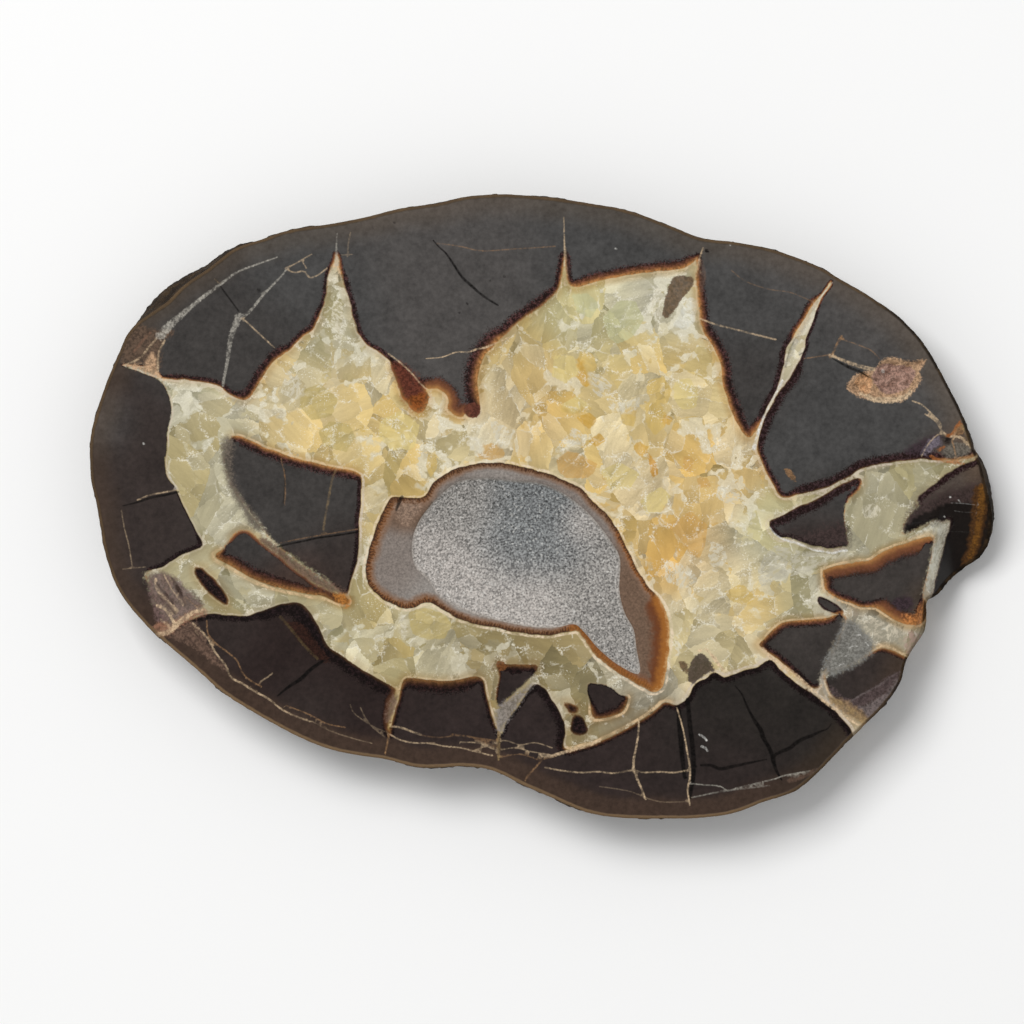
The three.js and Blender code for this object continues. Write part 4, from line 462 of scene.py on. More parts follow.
patches = [
    ("greyBrown", [(-51, -17.5), (-49.6, -16.4), (-47.9, -15.8), (-46.6, -17.5), (-44.9, -20.2),
      (-43.3, -22.4), (-44.7, -21.8), (-47.1, -19.9), (-49.3, -18.6)]),
    ("tanGrain", [(-55.9, 25.3), (-54, 24.5), (-52.3, 24.2), (-51, 24.3), (-50.5, 23.8), (-51.5, 23.1),
      (-52.1, 22), (-52.3, 20.6), (-52.6, 18.4), (-53.7, 19.2), (-55.5, 19.9), (-57.3, 19.7), (-57.7, 21.7),
      (-57, 23.9)]),
    ("pocketTan", [(-57.5, 19.5), (-55.9, 19.5), (-54.8, 19.2), (-54.1, 20.3), (-53.3, 21.3), (-52.9, 20.1),
      (-52.6, 18.4), (-52.2, 17.6), (-53.7, 18.2), (-55.5, 18.7)]),
    ("shadow", [(20.1, -23.9), (20.1, -22.4), (20.8, -20.9), (21.8, -20.1), (22.6, -20.6), (23.3, -21.6),
      (23.8, -22.5), (22.6, -22.9), (21.5, -23.8), (20.5, -24.5)]),
    ("umber", [(18.1, 31.4), (19.5, 31.7), (20.8, 31.4), (20.8, 30.6), (20.1, 29.5), (19.2, 28.4),
      (18.5, 27.3), (17.8, 26.4), (17.1, 25.8), (16.6, 26.2), (16.7, 27.6), (17.1, 29.1), (17.5, 30.5)]),
    ("umber", [(18.8, -21.2), (19.7, -21.3), (20, -22.1), (19.6, -22.8), (19, -22.1)]),
    ("greyBrown", [(-20, -25.5), (-19.9, -26.8), (-20.4, -28.4), (-21.1, -29.8), (-21.5, -29),
      (-21.1, -27.3), (-20.7, -26.2)]),
    ("plum", [(49.7, 7.6), (51.1, 8.6), (52.9, 9.4), (54.7, 9.8), (54.5, 8.3), (53.2, 7.7), (51.2, 7.1)]),
    ("slateBit", [(55.1, 7.9), (56.2, 8.8), (57.5, 8.7), (58.9, 8), (58.4, 7.1), (56.7, 6.6), (55.3, 6.8)]),
    ("rust", [(33.2, 5), (34, 5.1), (34.8, 3.9), (34.7, 3.2), (33.8, 4.2)]),
    ("plum", [(48.1, -12.7), (50.4, -12.4), (51, -13.4), (50.1, -14.3), (48.5, -13.9)]),
    ("teal", [(41.4, -15.7), (43, -15.8), (44.4, -17.2), (45.5, -18.8), (45.3, -20.1), (43.8, -21.2),
      (41.6, -22.5), (39.6, -23.1), (38.5, -21.6), (39.6, -19.7), (40.5, -18), (41.1, -16.6)]),
    ("lilac", [(41.6, -28.2), (43.3, -27.6), (45.2, -26.8), (47.1, -25.4), (48.5, -24), (49.3, -22.7),
      (48.9, -25.1), (47.1, -27.1), (46, -28.7), (44.7, -29.8), (43.3, -29)]),
    ("plumGrey", [(42.2, -26.5), (44.7, -25.4), (46.8, -24), (48.5, -22.8), (49.2, -22.7), (48.5, -24),
      (46.8, -25.7), (44.9, -26.9), (43.3, -27.6), (41.6, -26.9), (40.3, -26), (39.3, -24.9), (40, -24.6),
      (40.8, -25.7)]),
    ("yellowGrain", [(39.2, -26.2), (41.1, -26.4), (43, -27.3), (44.7, -28.7), (45.2, -29.8), (43.6, -29.5),
      (41.6, -28.4), (40, -27.3)]),
    ("greyGrain", [(-5.9, -27.3), (-4.7, -26.6), (-3, -25.3), (-1.2, -24.3), (-2.5, -26), (-3.8, -28.2),
      (-5.1, -30.1), (-5.9, -31.3), (-6.3, -29.2)]),
    ("greyBrown", [(-38.4, -4.2), (-35.8, -5.8), (-33.2, -7.9), (-30.1, -9.8), (-27.1, -11.6),
      (-26.6, -12.3), (-27.9, -12.1), (-30.7, -10.9), (-33.6, -9), (-36.2, -6.8), (-38.8, -4.7)]),
    ("smoky", [(-43.8, 9.1), (-42.7, 9.5), (-42.3, 8.2), (-42.6, 5), (-41.4, 1.7), (-39.7, -0.8),
      (-37.8, -3.6), (-39.3, -3.2), (-41.4, -0.2), (-42.9, 2.5), (-43.8, 5.7)]),
    ("plumShade", [(51, -0.1), (52.5, 1), (54.5, 1.8), (57, 2.7), (59.3, 3.2), (61.8, 4), (63, 0.9),
      (61.6, -7.3), (57.5, -13.1), (54, -13.6), (54.7, -9.4), (55.6, -5.3), (56.4, -1.7), (54.9, -2),
      (52.5, -2.4), (50.1, -3.4), (49.7, -2.9), (50.4, -0.9)]),
    ("black", [(49.9, -2.8), (51, -1.6), (52.5, -0.8), (54.8, 0.1), (57.3, 0.5), (59.7, 0.6), (62.5, 1.2),
      (62.7, -1.8), (61.4, -7.3), (57.3, -12.8), (54, -13.6), (54.7, -9.4), (55.6, -5.3), (56.4, -1.7),
      (54.9, -2), (52.5, -2.4), (50.1, -3.5)]),
    ("ochreBand", [(59.7, 2.7), (61.1, 3.1), (61.6, 1.6), (61.4, -0.5), (61, -3.2), (60.5, -6),
      (59.6, -8.2), (58.2, -8.4), (58.8, -6), (59.2, -3.2), (59.2, -0.5), (59.3, 1.6)]),
    ("pocketTan", [(41.8, 16.5), (42.3, 17.3), (43, 18), (43.8, 18.4), (44.8, 18.6), (45.5, 18.7),
      (46.3, 19.7), (47, 20.3), (48.4, 20.5), (49.7, 20.1), (51.1, 19.9), (52.6, 20.1), (52.1, 19.1),
      (51.8, 18.4), (52.1, 17.6), (51.6, 16.6), (50.8, 15.5), (49.9, 14.7), (48.4, 14.3), (46.3, 14.2),
      (44.7, 14.6), (43.2, 15.1), (42.2, 15.8)]),
    ("pocketOrange", [(42.9, 17.3), (43.7, 18), (44.7, 18.2), (45.2, 17.5), (45.2, 16.2), (44.7, 15.4),
      (43.7, 15.8)]),
    ("pocketCream", [(43.3, 15.7), (44.4, 15.4), (46, 15), (47.9, 14.9), (49.6, 15.3), (50.7, 16),
      (50.3, 15), (48.5, 14.3), (46.3, 14.2), (44.7, 14.6)]),
    ("pocketPlum", [(45.8, 19), (46.8, 19.7), (48.5, 19.5), (50.4, 19.2), (51.4, 18.4), (51, 17.1),
      (49.9, 16), (48.2, 15.4), (46.6, 15.7), (45.8, 16.5), (45.3, 17.6)]),
    ("violet", [(52.5, 8.3), (53.5, 9.3), (54.4, 9.6), (54.7, 8.6), (54, 8.1), (53.2, 7.5), (52.2, 7)]),
    # painted shade of a small pit by the hollow's rim
    ("darkPit", [(-17.3, -7.6), (-16.2, -7.7), (-15.1, -8.7), (-14.7, -9.9), (-15.3, -10.3), (-16.2, -9.4),
      (-17.1, -8.4)]),
    ("coreBrown", [(-20, 0.1), (-18.6, 0.5), (-16.7, 0.3), (-17, -1), (-18.4, -2.5), (-19.5, -2.1),
      (-19.9, -1)]),
    ("bandBrown", [(-35.3, -15.7), (-33.2, -16), (-32.1, -17.2), (-30.7, -19.1), (-29.6, -20.5),
      (-29, -21.2), (-30.1, -21.3), (-31.2, -20.6), (-32.7, -19), (-34.1, -17.3), (-35.3, -15.8)]),
    ("amberTip", [(-28.5, -11.8), (-27.1, -12), (-26.2, -12.8), (-26.6, -13.8), (-27.7, -13.4),
      (-28.6, -12.5)]),
    ("brightOrange", [(49.9, -14.6), (51.1, -15.1), (52.1, -13.8), (52.5, -14.7), (52.2, -16), (51, -16.1),
      (49.7, -15.7)]),
    ("streaky", [(-53.7, -9.4), (-51.9, -9), (-49.9, -10.1), (-48.2, -11.7), (-46.4, -13.6), (-47.1, -14.5),
      (-48.9, -15.3), (-51, -16.8), (-52.5, -16.4), (-53.2, -14.2), (-54, -11.4)]),
    ("pinkTan", [(-51.8, -16.9), (-50.7, -15.8), (-49.3, -14.9), (-47.9, -14.3), (-46.2, -14), (-46, -14.7),
      (-47.4, -15.1), (-49, -16.1), (-50.7, -17.3), (-52.3, -18), (-53.4, -18.3), (-53.2, -17.2)]),
    ("pinkTan", [(-53.4, -16.6), (-52.3, -15.8), (-51.2, -16.1), (-51, -16.9), (-52.1, -18),
      (-53.3, -18.4)]),
    ("plumShade", [(37.4, -3.5), (39.5, -2.7), (41.6, -2.4), (42.1, -5.3), (40.3, -5.4), (37.4, -5.1),
      (34.7, -4.3), (32.9, -3.9), (35.1, -3.5)]),
    ("black", [(55.1, 9), (55.5, 9.8), (56.1, 9.5), (56, 8.7), (55.5, 8.6)]),
    ("rust", [(56.3, 9.9), (56.8, 10.9), (57.5, 11.3), (57.9, 10.3), (57.3, 9.7)]),
    ("dropRed", [(-20.7, 19.5), (-19.6, 19.8), (-18.4, 19), (-17.1, 17.9), (-16.2, 16.2), (-15.9, 14.7),
      (-16.4, 13.5), (-17.4, 13.2), (-18.4, 14.3), (-19.3, 15.8), (-20.1, 17.6)]),
    ("dropAmber", [(-19.3, 15.1), (-18.4, 14.9), (-17.1, 15.4), (-16, 15.7), (-15.9, 14.6), (-16.4, 13.5),
      (-17.4, 13.1), (-18.4, 14)]),
    ("dropDark", [(-10.1, 14), (-9, 14.2), (-8.4, 13.4), (-8.8, 12.4), (-9.7, 12.1), (-10.5, 12.7),
      (-10.7, 13.5)]),
    ("chipRust", [(-6.2, -21.3), (-5.1, -21.3), (-4.8, -22), (-5.5, -22.5), (-6.2, -22.3)]),
]
shards = [
    ("shardOrange", [(4.7, 12.4), (6.6, 12.9), (7.7, 12), (6.6, 10.5), (5.6, 11.3)]),
    ("shardOrange", [(6.2, 9.1), (7.9, 10.1), (9, 9.1), (7.4, 8.2)]),
    ("shardOrange", [(12.3, 8.2), (13.4, 9.1), (14.8, 8.2), (13.7, 6.6)]),
    ("deepOrange", [(14.5, 7.7), (15.5, 6.4), (16, 4.7), (15.2, 3.6), (14.7, 5.7)]),
    ("shardAmber", [(14.2, 14.3), (15.9, 14.9), (16.8, 13.2), (17.1, 11.2), (15.5, 9.7), (14.5, 10.8),
      (14.1, 12.5)]),
    ("shardOrange", [(16.8, 12.7), (18.1, 12.1), (17.5, 10.9), (16.7, 11.6)]),
    ("peach", [(19.3, 7.1), (21, 6.6), (20.4, 4.3), (19.3, 5.3)]),
    ("peach", [(21, 4.3), (22.7, 3.9), (23.2, 2.7), (21.6, 2.5)]),
    ("peach", [(16.7, -2.4), (18.6, -1.8), (20.3, -0.5), (21.6, -1.6), (22.7, -2.5), (22.5, -5.3),
      (21.6, -7.1), (20.3, -6.6), (18.6, -3.9)]),
    ("peach", [(1.9, 6.4), (3.3, 7.5), (5.5, 7.1), (7.5, 6), (7.1, 4.5), (5.5, 3.8), (3.2, 4), (2.2, 5)]),
    ("shardAmber", [(10.7, 12.9), (13, 12.5), (12.6, 10.9), (11, 11.4)]),
    ("shardAmber", [(5.2, 21.4), (6.8, 21.2), (7.7, 19.2), (6.6, 17.6), (5.5, 18.4), (4.8, 20.1)]),
    ("shardOrange", [(4.8, 20.1), (5.6, 20.3), (6, 18.4), (6.8, 16.8), (5.8, 16.2), (4.7, 17.9)]),
    ("shardAmber", [(2.5, 13.9), (5.2, 14.3), (7.1, 13.5), (4.9, 12.7), (2.5, 12.9)]),
    ("shardAmber", [(-15.6, 7.1), (-14.4, 7.5), (-14.2, 5.5), (-15.3, 3.9), (-16, 5.3)]),
    ("peach", [(-8.8, 8), (-7.1, 8.8), (-5.1, 8), (-5.1, 6.6), (-7.1, 6.4), (-8.8, 6.6)]),
    ("paleGreen", [(8.2, 25.8), (10.4, 28.3), (12.9, 28.3), (14, 25.8), (12.6, 23.4), (10.4, 22.3),
      (9, 23.4)]),
    ("paleGreen", [(4.1, 29.4), (6.6, 29.1), (7.9, 27.5), (6.8, 25.8), (4.7, 26.6)]),
    ("whiteSugar", [(6.3, 18.4), (7.9, 18.2), (9.6, 16.8), (9.3, 15.1), (7.9, 14.9), (6.8, 16)]),
    ("whiteSugar", [(8.8, 14.9), (11.2, 14.3), (13.4, 15.1), (13.4, 13.5), (11.2, 12.7), (9.3, 13.2)]),
    ("whiteSugar", [(3.8, 11), (5.2, 10.5), (6, 9.1), (4.9, 8.3), (3.8, 9.4)]),
    ("whiteSugar", [(1.6, 7.5), (3.3, 9.7), (4.4, 10.5), (4.7, 8.6), (3.3, 7.5)]),
    ("whiteSugar", [(-7.7, 12.9), (-5.8, 11.3), (-3.6, 10.5), (-4.4, 8.3), (-5.5, 7.7), (-6.6, 9.7)]),
    ("whiteSugar", [(-9.9, 9.7), (-7.9, 9.1), (-8.2, 6.9), (-9.9, 7.7)]),
    ("shardAmber", [(14.5, 17.3), (16.7, 17.9), (17.8, 16), (17.3, 14), (15.1, 14.3), (14.2, 15.7)]),
    ("paleYellow", [(18.1, 17.3), (20.3, 17.6), (21.6, 15.7), (21.1, 13.5), (19.2, 13.2), (18.1, 14.9)]),
    ("paleYellow", [(1.6, 20.9), (4.4, 20.6), (5.2, 18.4), (3.3, 16.8), (1.4, 17.9)]),
    ("paleYellow", [(7.9, 5), (10.7, 6.1), (13.4, 4.5), (12.3, 2.5), (9.3, 2.3)]),
    ("paleYellow", [(2.5, 14), (4.7, 15.1), (6.8, 14), (4.1, 12.9)]),
    ("paleYellow", [(13.4, 0.9), (16.4, 2.8), (17.8, 1.4), (16.4, -0.8), (14.2, -1)]),
    ("whiteSugar", [(24.1, 2.9), (26.4, 2.3), (27.8, 0.9), (25.5, 0.2), (23.8, 1.3)]),
    ("whiteSugar", [(23.3, -4.6), (24.9, -5.3), (25.5, -7.3), (24.1, -9), (22.7, -7.6)]),
    ("whiteSugar", [(16.8, -7.3), (20.3, -8.2), (21.6, -10.1), (19.5, -11.4), (17, -10.3)]),
    ("shardAmber", [(24.9, -11.7), (27.4, -10.6), (29.3, -12.3), (28.2, -13.6), (26, -13.1)]),
    ("oliveYellow", [(-18.4, -14.5), (-16.2, -13.8), (-13.7, -14.5), (-12.3, -16.1), (-13.2, -18),
      (-15.9, -18.4), (-17.8, -17.5)]),
    ("whiteSugar", [(-19.7, -14.2), (-18.9, -14.5), (-18.4, -16.9), (-18.8, -19), (-19.3, -17.7),
      (-19.6, -16.1)]),
    ("shardAmber", [(-25.2, 11.3), (-24.4, 11.2), (-24.1, 10.3), (-24.9, 10.1)]),
    ("whiteSugar", [(-24.4, -4.6), (-23.3, -3.5), (-23.2, -7.3), (-24, -11.2), (-24.7, -11.7),
      (-24.7, -8)]),
    ("paleYellow", [(-22.2, 11.8), (-19.2, 13.2), (-16.7, 11.3), (-17.5, 8), (-20.5, 7.7), (-22.5, 9.4)]),
    ("oliveYellow", [(-33.2, 16), (-30.1, 16.8), (-27.9, 14.9), (-28.8, 12.4), (-31.5, 11.8),
      (-33.2, 13.5)]),
    ("whiteSugar", [(-35.1, 19), (-33.2, 17.9), (-32.6, 15.1), (-34.2, 14.6), (-35.9, 15.7)]),
    ("oliveYellow", [(-30.7, 10.2), (-29, 11.8), (-26.3, 11.3), (-25.5, 9.4), (-26.8, 7.5), (-30.1, 8.3)]),
    ("whiteSugar", [(-28.5, 28.3), (-27.4, 28), (-26.8, 24.2), (-27.7, 22.3), (-28.8, 23.1), (-29, 25.5)]),
    ("whiteSugar", [(15.9, 30.2), (17, 28.3), (16.7, 25.8), (15.3, 25.8), (14.5, 28.3)]),
    ("palest", [(21.6, 28.3), (21.1, 25.5), (19.7, 24.2), (17.8, 24.7), (19.2, 26.9), (20.3, 28.8)]),
    ("palest", [(49.7, -4.7), (51.1, -3.8), (52.5, -3.1), (53.4, -2.1), (54.5, -1.7), (55.3, -2.5),
      (56.3, -2.1), (55.9, -3.9), (55.5, -5.7), (55.1, -7.3), (54.5, -9.4), (54, -11.7), (53, -12),
      (52.7, -10.1), (53.2, -8), (53.6, -5.7), (53.7, -4.6), (52.5, -4.2), (50.7, -4.7)]),
    ("blueWhite", [(38.4, -6.4), (42.1, -6.2), (42.1, -8.2), (40.1, -7.9), (38.5, -8.3), (35.6, -9.2),
      (32.1, -10.1), (30.1, -11.2), (29.5, -8.7), (30.7, -6.4), (32.1, -5.3), (35.3, -6)]),
    ("rosyWhite", [(50.4, -16.9), (52.5, -17.7), (52.1, -19.1), (51, -20.2), (50.1, -20.6), (49.6, -18.6)]),
    ("beige", [(41.6, -15.1), (46.3, -15), (49.7, -15.8), (49.6, -19), (47, -19.1), (43.6, -17.5),
      (41.6, -16.6)]),
    ("whiteSugar", [(43.8, 0.2), (45.8, 0.5), (46.7, -0.5), (46, -1.7), (44.2, -1.6)]),
]

# What the calcite looks like in each part of the cavity: tone, whiteness of its cracks, place, reach
calciteTones = {
    "straw": (206, 183, 128), "honey": (206, 176, 116), "pale": (196, 188, 150),
    "milky": (194, 188, 164), "sage": (170, 162, 132), "olive": (176, 162, 120),
    "umberish": (148, 135, 102), "amber": (196, 162, 102), "rosy": (170, 158, 138),
    "tawny": (184, 163, 112), "dim": (128, 117, 96), "creamy": (206, 190, 152),
}
calciteZones = [
    ("sage", 0.5, (-28, 26), 5), ("pale", 0.45, (8, 27), 6), ("milky", 0.65, (17, 28), 5),
    ("tawny", 0.25, (-6, 21), 5), ("honey", 0.35, (-2, 16), 5), ("straw", 0.4, (12, 14), 8),
    ("honey", 0.4, (17, 4), 6), ("honey", 0.5, (25, 4), 4), ("amber", 0.3, (21, -6), 4),
    ("straw", 0.5, (26, -11), 4), ("pale", 0.6, (31, -3), 4), ("creamy", 0.35, (24, -19), 5),
    ("sage", 0.4, (36, -9), 4), ("sage", 0.25, (45, -1), 6), ("rosy", 0.2, (46, -17), 5),
    ("straw", 0.5, (-24, 11), 6), ("creamy", 0.55, (-34, 14), 5), ("milky", 0.5, (-47, 15), 4),
    ("sage", 0.3, (-45, 8), 5), ("sage", 0.25, (-45, -6), 7), ("sage", 0.35, (-29, -14), 6),
    ("olive", 0.35, (-18, -17), 6), ("umberish", 0.35, (-5, -21), 7), ("umberish", 0.3, (6, -23), 6),
    ("dim", 0.1, (13, -27), 4), ("tawny", 0.3, (-22, 2), 4), ("creamy", 0.5, (-12, 9), 4),
    ("dim", 0.3, (43, -19), 3), ("straw", 0.4, (21, 17), 4), ("milky", 0.65, (35, 21), 3.5),
]
# Tone of the core's grey by place: tone, middle, reach
coreTones = {"grey": (146, 140, 134), "banded": (128, 118, 111), "brown": (110, 88, 72)}
coreZones = [
    ("banded", (-20.5, -8), 3), ("brown", (-19, -0.5), 2), ("grey", (-5, 4), 3), ("banded", (-2, 3), 6),
    ("banded", (6, -1), 5), ("grey", (-8, -17), 8), ("brown", (12, -9), 3), ("brown", (13, -17), 4.5),
    ("brown", (15, -22), 3),
]
# Tone of the crystals by place, which is painted shade of the hollow: darker in its upper middle, lighter
# towards its lower and left rim
crustShadeTones = {"dark": (116, 118, 118), "middling": (143, 139, 134), "light": (168, 162, 156)}
crustShadeZones = [
    ("dark", (-3, -4.5), 5), ("dark", (-2, 0), 4), ("dark", (3, -6), 3.5), ("middling", (9, -9), 5),
    ("middling", (-11, -0.5), 4), ("light", (-15.5, -7), 4), ("light", (-10, -12), 5),
    ("light", (-1, -14), 4.5), ("light", (5.5, -3), 2.2), ("middling", (6, -13), 4),
    ("middling", (9, -17), 4), ("middling", (12, -21), 3),
]
# Tone of the mudstone by place: tone, middle, reach
mudTones = {
    "slate": (68, 67, 66), "paleSlate": (75, 72, 70), "deepSlate": (60, 57, 55), "brown": (52, 44, 41),
    "rusty": (40, 30, 28), "warmSlate": (60, 55, 52), "wedgeBrown": (66, 50, 43), "dusk": (46, 37, 35),
    "lilacGrey": (80, 70, 63), "coal": (38, 34, 31),
}
mudZones = [
    ("deepSlate", (-46, 23), 7), ("deepSlate", (-36, 20), 6), ("slate", (-31, 30), 6),
    ("paleSlate", (-12, 37), 9), ("slate", (8, 38), 8), ("slate", (20, 34), 7),
    ("paleSlate", (32, 36), 5), ("slate", (28, 27), 5), ("deepSlate", (29, 18), 5),
    ("paleSlate", (51, 24), 7), ("slate", (41, 12), 8), ("brown", (-56, 6), 8),
    ("paleSlate", (-60, 11), 3), ("deepSlate", (-34, 2), 8), ("brown", (-28, -7), 4),
    ("wedgeBrown", (-33, -10.5), 3.5), ("brown", (-56, -8), 7), ("rusty", (-50, -16), 6),
    ("rusty", (-36, -20), 7), ("brown", (-43, -17), 4), ("rusty", (-28, -23), 7),
    ("brown", (-32, -27), 4), ("dusk", (0, -30), 14), ("coal", (28, -28), 9), ("dusk", (26, -38), 6),
    ("warmSlate", (44, -12), 6), ("warmSlate", (35, -19), 4), ("lilacGrey", (57, 4), 4),
    ("deepSlate", (39, 1), 3), ("brown", (39, -4), 3), ("brown", (45, -22), 4),
]


# Numbers and curves

def scatter(i, j):
    # a repeatable number from 0 to 1 for a pair of whole numbers, by multiplying and folding bits
    n = (i.astype(np.int64) * 374761393 + j.astype(np.int64) * 668265263) & 0xFFFFFFFF
    n = ((n ^ (n >> 13)) * 1274126177) & 0xFFFFFFFF
    return (n ^ (n >> 16)) / 4294967296.0


def lumps(u, v, around):
    # scattered numbers on a grid, blended by 3t^2 - 2t^3 in both ways, repeating every `around` in u
    i, j = np.floor(u), np.floor(v)
    a, b = u - i, v - j
    a, b = a * a * (3 - 2 * a), b * b * (3 - 2 * b)

    def pick(di, dj):
        return scatter((i + di) % around, j + dj) * 2 - 1

    low = pick(0, 0) * (1 - a) + pick(1, 0) * a
    high = pick(0, 1) * (1 - a) + pick(1, 1) * a
    return low * (1 - b) + high * b


def smoothCurve(corners, closed, perStretch=8):
    # centripetal Catmull-Rom curve through the corners: a cubic between each two, whose end slopes
    # come from the neighbours, with times that grow as the square root of the distance
    p = np.asarray(corners, float)
    if closed:
        p = np.vstack([p[-1:], p, p[:2]])
    else:
        p = np.vstack([2 * p[:1] - p[1:2], p, 2 * p[-1:] - p[-2:-1]])
    p0, p1, p2, p3 = (p[k:len(p) - 3 + k, None, :] for k in range(4))
    d0, d1, d2 = (np.maximum(np.sqrt(np.linalg.norm(b - a, axis=-1, keepdims=True)), 1e-4)
                  for a, b in ((p0, p1), (p1, p2), (p2, p3)))
    m1 = ((p1 - p0) / d0 - (p2 - p0) / (d0 + d1) + (p2 - p1) / d1) * d1
    m2 = ((p2 - p1) / d1 - (p3 - p1) / (d1 + d2) + (p3 - p2) / d2) * d1
    t = (np.arange(perStretch) / perStretch)[None, :, None]
    curve = ((2 * t ** 3 - 3 * t ** 2 + 1) * p1 + (t ** 3 - 2 * t ** 2 + t) * m1
             + (3 * t ** 2 - 2 * t ** 3) * p2 + (t ** 3 - t ** 2) * m2)
    flat = curve.reshape(-1, 2)
    return flat if closed else np.vstack([flat, p[-2:-1]])


def resample(curve, closed, step=None, count=None, values=None):
    # evenly spaced points along a curve, by its running length
    loop = np.vstack([curve, curve[:1]]) if closed else curve
    along = np.concatenate([[0], np.cumsum(np.linalg.norm(np.diff(loop, axis=0), axis=1))])
    if count is None:
        count = max(int(round(along[-1] / step)), 3)
    stops = np.linspace(0, along[-1], count + 1)
    stops = stops[:-1] if closed else stops
    columns = [np.interp(stops, along, loop[:, k]) for k in range(2)]
    points = np.stack(columns, 1)
    if values is None:
        return points
    table = np.vstack([values, values[:1]]) if closed else values
    return points, np.stack([np.interp(stops, along, table[:, k]) for k in range(table.shape[1])], 1)


def nearest(points, starts, ends=None, reachAt=None):
    # distance from each point to the nearest segment, which one it is and how far along it lies;
    # without ends the segments close a loop; half widths at both their ends are taken off the distance
    way = (np.roll(starts, -1, axis=0) if ends is None else ends) - starts
    size = np.maximum((way ** 2).sum(1), 1e-9)
    best, which, along = (np.empty(len(points)) for _ in range(3))
    for first in range(0, len(points), chunk):
        part = points[first:first + chunk]
        dx = part[:, None, 0] - starts[None, :, 0]
        dy = part[:, None, 1] - starts[None, :, 1]
        t = np.clip((dx * way[:, 0] + dy * way[:, 1]) / size, 0, 1)
        away = np.hypot(dx - t * way[:, 0], dy - t * way[:, 1])
        if reachAt is not None:
            away = away - (reachAt[:, 0] + t * (reachAt[:, 1] - reachAt[:, 0]))
        k = away.argmin(1)
        row = np.arange(len(part))
        best[first:first + chunk] = away[row, k]
        which[first:first + chunk] = k
        along[first:first + chunk] = t[row, k]
    return best, which.astype(int), along


def inside(points, loop):
    # whether each point lies inside a closed loop: an odd number of crossings to its right
    a, b = loop, np.roll(loop, -1, axis=0)
    result = np.zeros(len(points), bool)
    for first in range(0, len(points), chunk):
        part = points[first:first + chunk]
        y = part[:, None, 1]
        crosses = (a[:, 1] > y) != (b[:, 1] > y)
        rise = np.where(b[:, 1] == a[:, 1], 1e-9, b[:, 1] - a[:, 1])
        x = a[:, 0] + (y - a[:, 1]) * (b[:, 0] - a[:, 0]) / rise
        result[first:first + chunk] = (crosses & (part[:, None, 0] < x)).sum(1) % 2 == 1
    return result


def depthInside(points, loop, reach=4.0):
    # signed distance to a closed loop, positive inside, worked out only near it
    low, high = loop.min(0) - reach, loop.max(0) + reach
    near = ((points > low) & (points < high)).all(1)
    result = np.full(len(points), -reach)
    which = np.zeros(len(points), int)
    along = np.zeros(len(points))
    if near.any():
        close = points[near]
        away, k, t = nearest(close, loop)
        result[near] = np.where(inside(close, loop), away, -away)
        which[near], along[near] = k, t
    return result, which, along


def ease(value, low, high):
    # 3t^2 - 2t^3 of the way from low to high, held at both ends
    t = np.clip((value - low) / (high - low), 0, 1)
    return t * t * (3 - 2 * t)


def ripple(points, size, seed):
    # smooth scattered numbers from -1 to 1, one lump per `size`
    return lumps(points[:, 0] / size + 300 + seed * 17.3, points[:, 1] / size + 300 + seed * 9.1, 100000)


def linear(colour):
    # 8-bit display colour to linear light, by the sRGB curve
    c = np.asarray(colour, float) / 255
    return np.where(c <= 0.04045, c / 12.92, ((c + 0.055) / 1.055) ** 2.4)


# What lies where on a cut through the stone

cut = {
    "outlineStep": 0.45,  # spacing of the points on an outline
    "lineStep": 0.42,  # and along a vein or a crack
    "waver": 0.09,  # how far fine ripples shake every edge
    "waverSize": 1.1,
}


def readOutline(stretches):
    # one closed curve from its stretches, with each stretch's values spread along it
    corners = [p for stretch in stretches for p in stretch[4]]
    perPoint = [stretch[:4] for stretch in stretches for _ in stretch[4]]
    curve = smoothCurve(corners, True)
    values = np.repeat(np.asarray(perPoint, float), 8, axis=0)
    points, values = resample(curve, True, step=cut["outlineStep"], values=values)
    return points, sum(np.roll(values, k, axis=0) for k in (-1, 0, 1)) / 3


def veinLines(rows, hasFinish):
    # every line's segments end to end, with half widths at both ends of each, strength and tone
    starts, ends, reach, strength, tone, chains = [], [], [], [], [], []
    for row in rows:
        show, widths, corners = row[-3], np.atleast_1d(row[-2]), row[-1]
        curve = smoothCurve(corners, False)
        place = np.linspace(0, len(widths) - 1, len(curve))
        width = np.interp(place, np.arange(len(widths)), widths)
        points, half = resample(curve, False, step=cut["lineStep"], values=width[:, None] / 2)
        count = len(points) - 1
        chains.append(points)
        starts.append(points[:-1])
        ends.append(points[1:])
        reach.append(np.hstack([half[:-1], half[1:]]))
        dots = dotted.get(row[0], plainDots) if hasFinish else crackDots
        strength.append(np.tile((show, dots), (count, 1)))
        tone.append(np.tile(linear(finishes[row[0]] if hasFinish else crackTone), (count, 1)))
    return (np.vstack(starts), np.vstack(ends), np.vstack(reach),
            np.vstack(strength), np.vstack(tone), chains)


def toneAt(points, zones, tones):
    # mean of the zones' tones, each weighted by exp(-(distance / reach)^2)
    weights = 1e-6 + np.stack([np.exp(-((points - np.array(zone[-2])) ** 2).sum(1) / zone[-1] ** 2)
                               for zone in zones])
    weights /= weights.sum(0)
    return weights.T @ np.stack([linear(tones[zone[0]]) for zone in zones]), weights


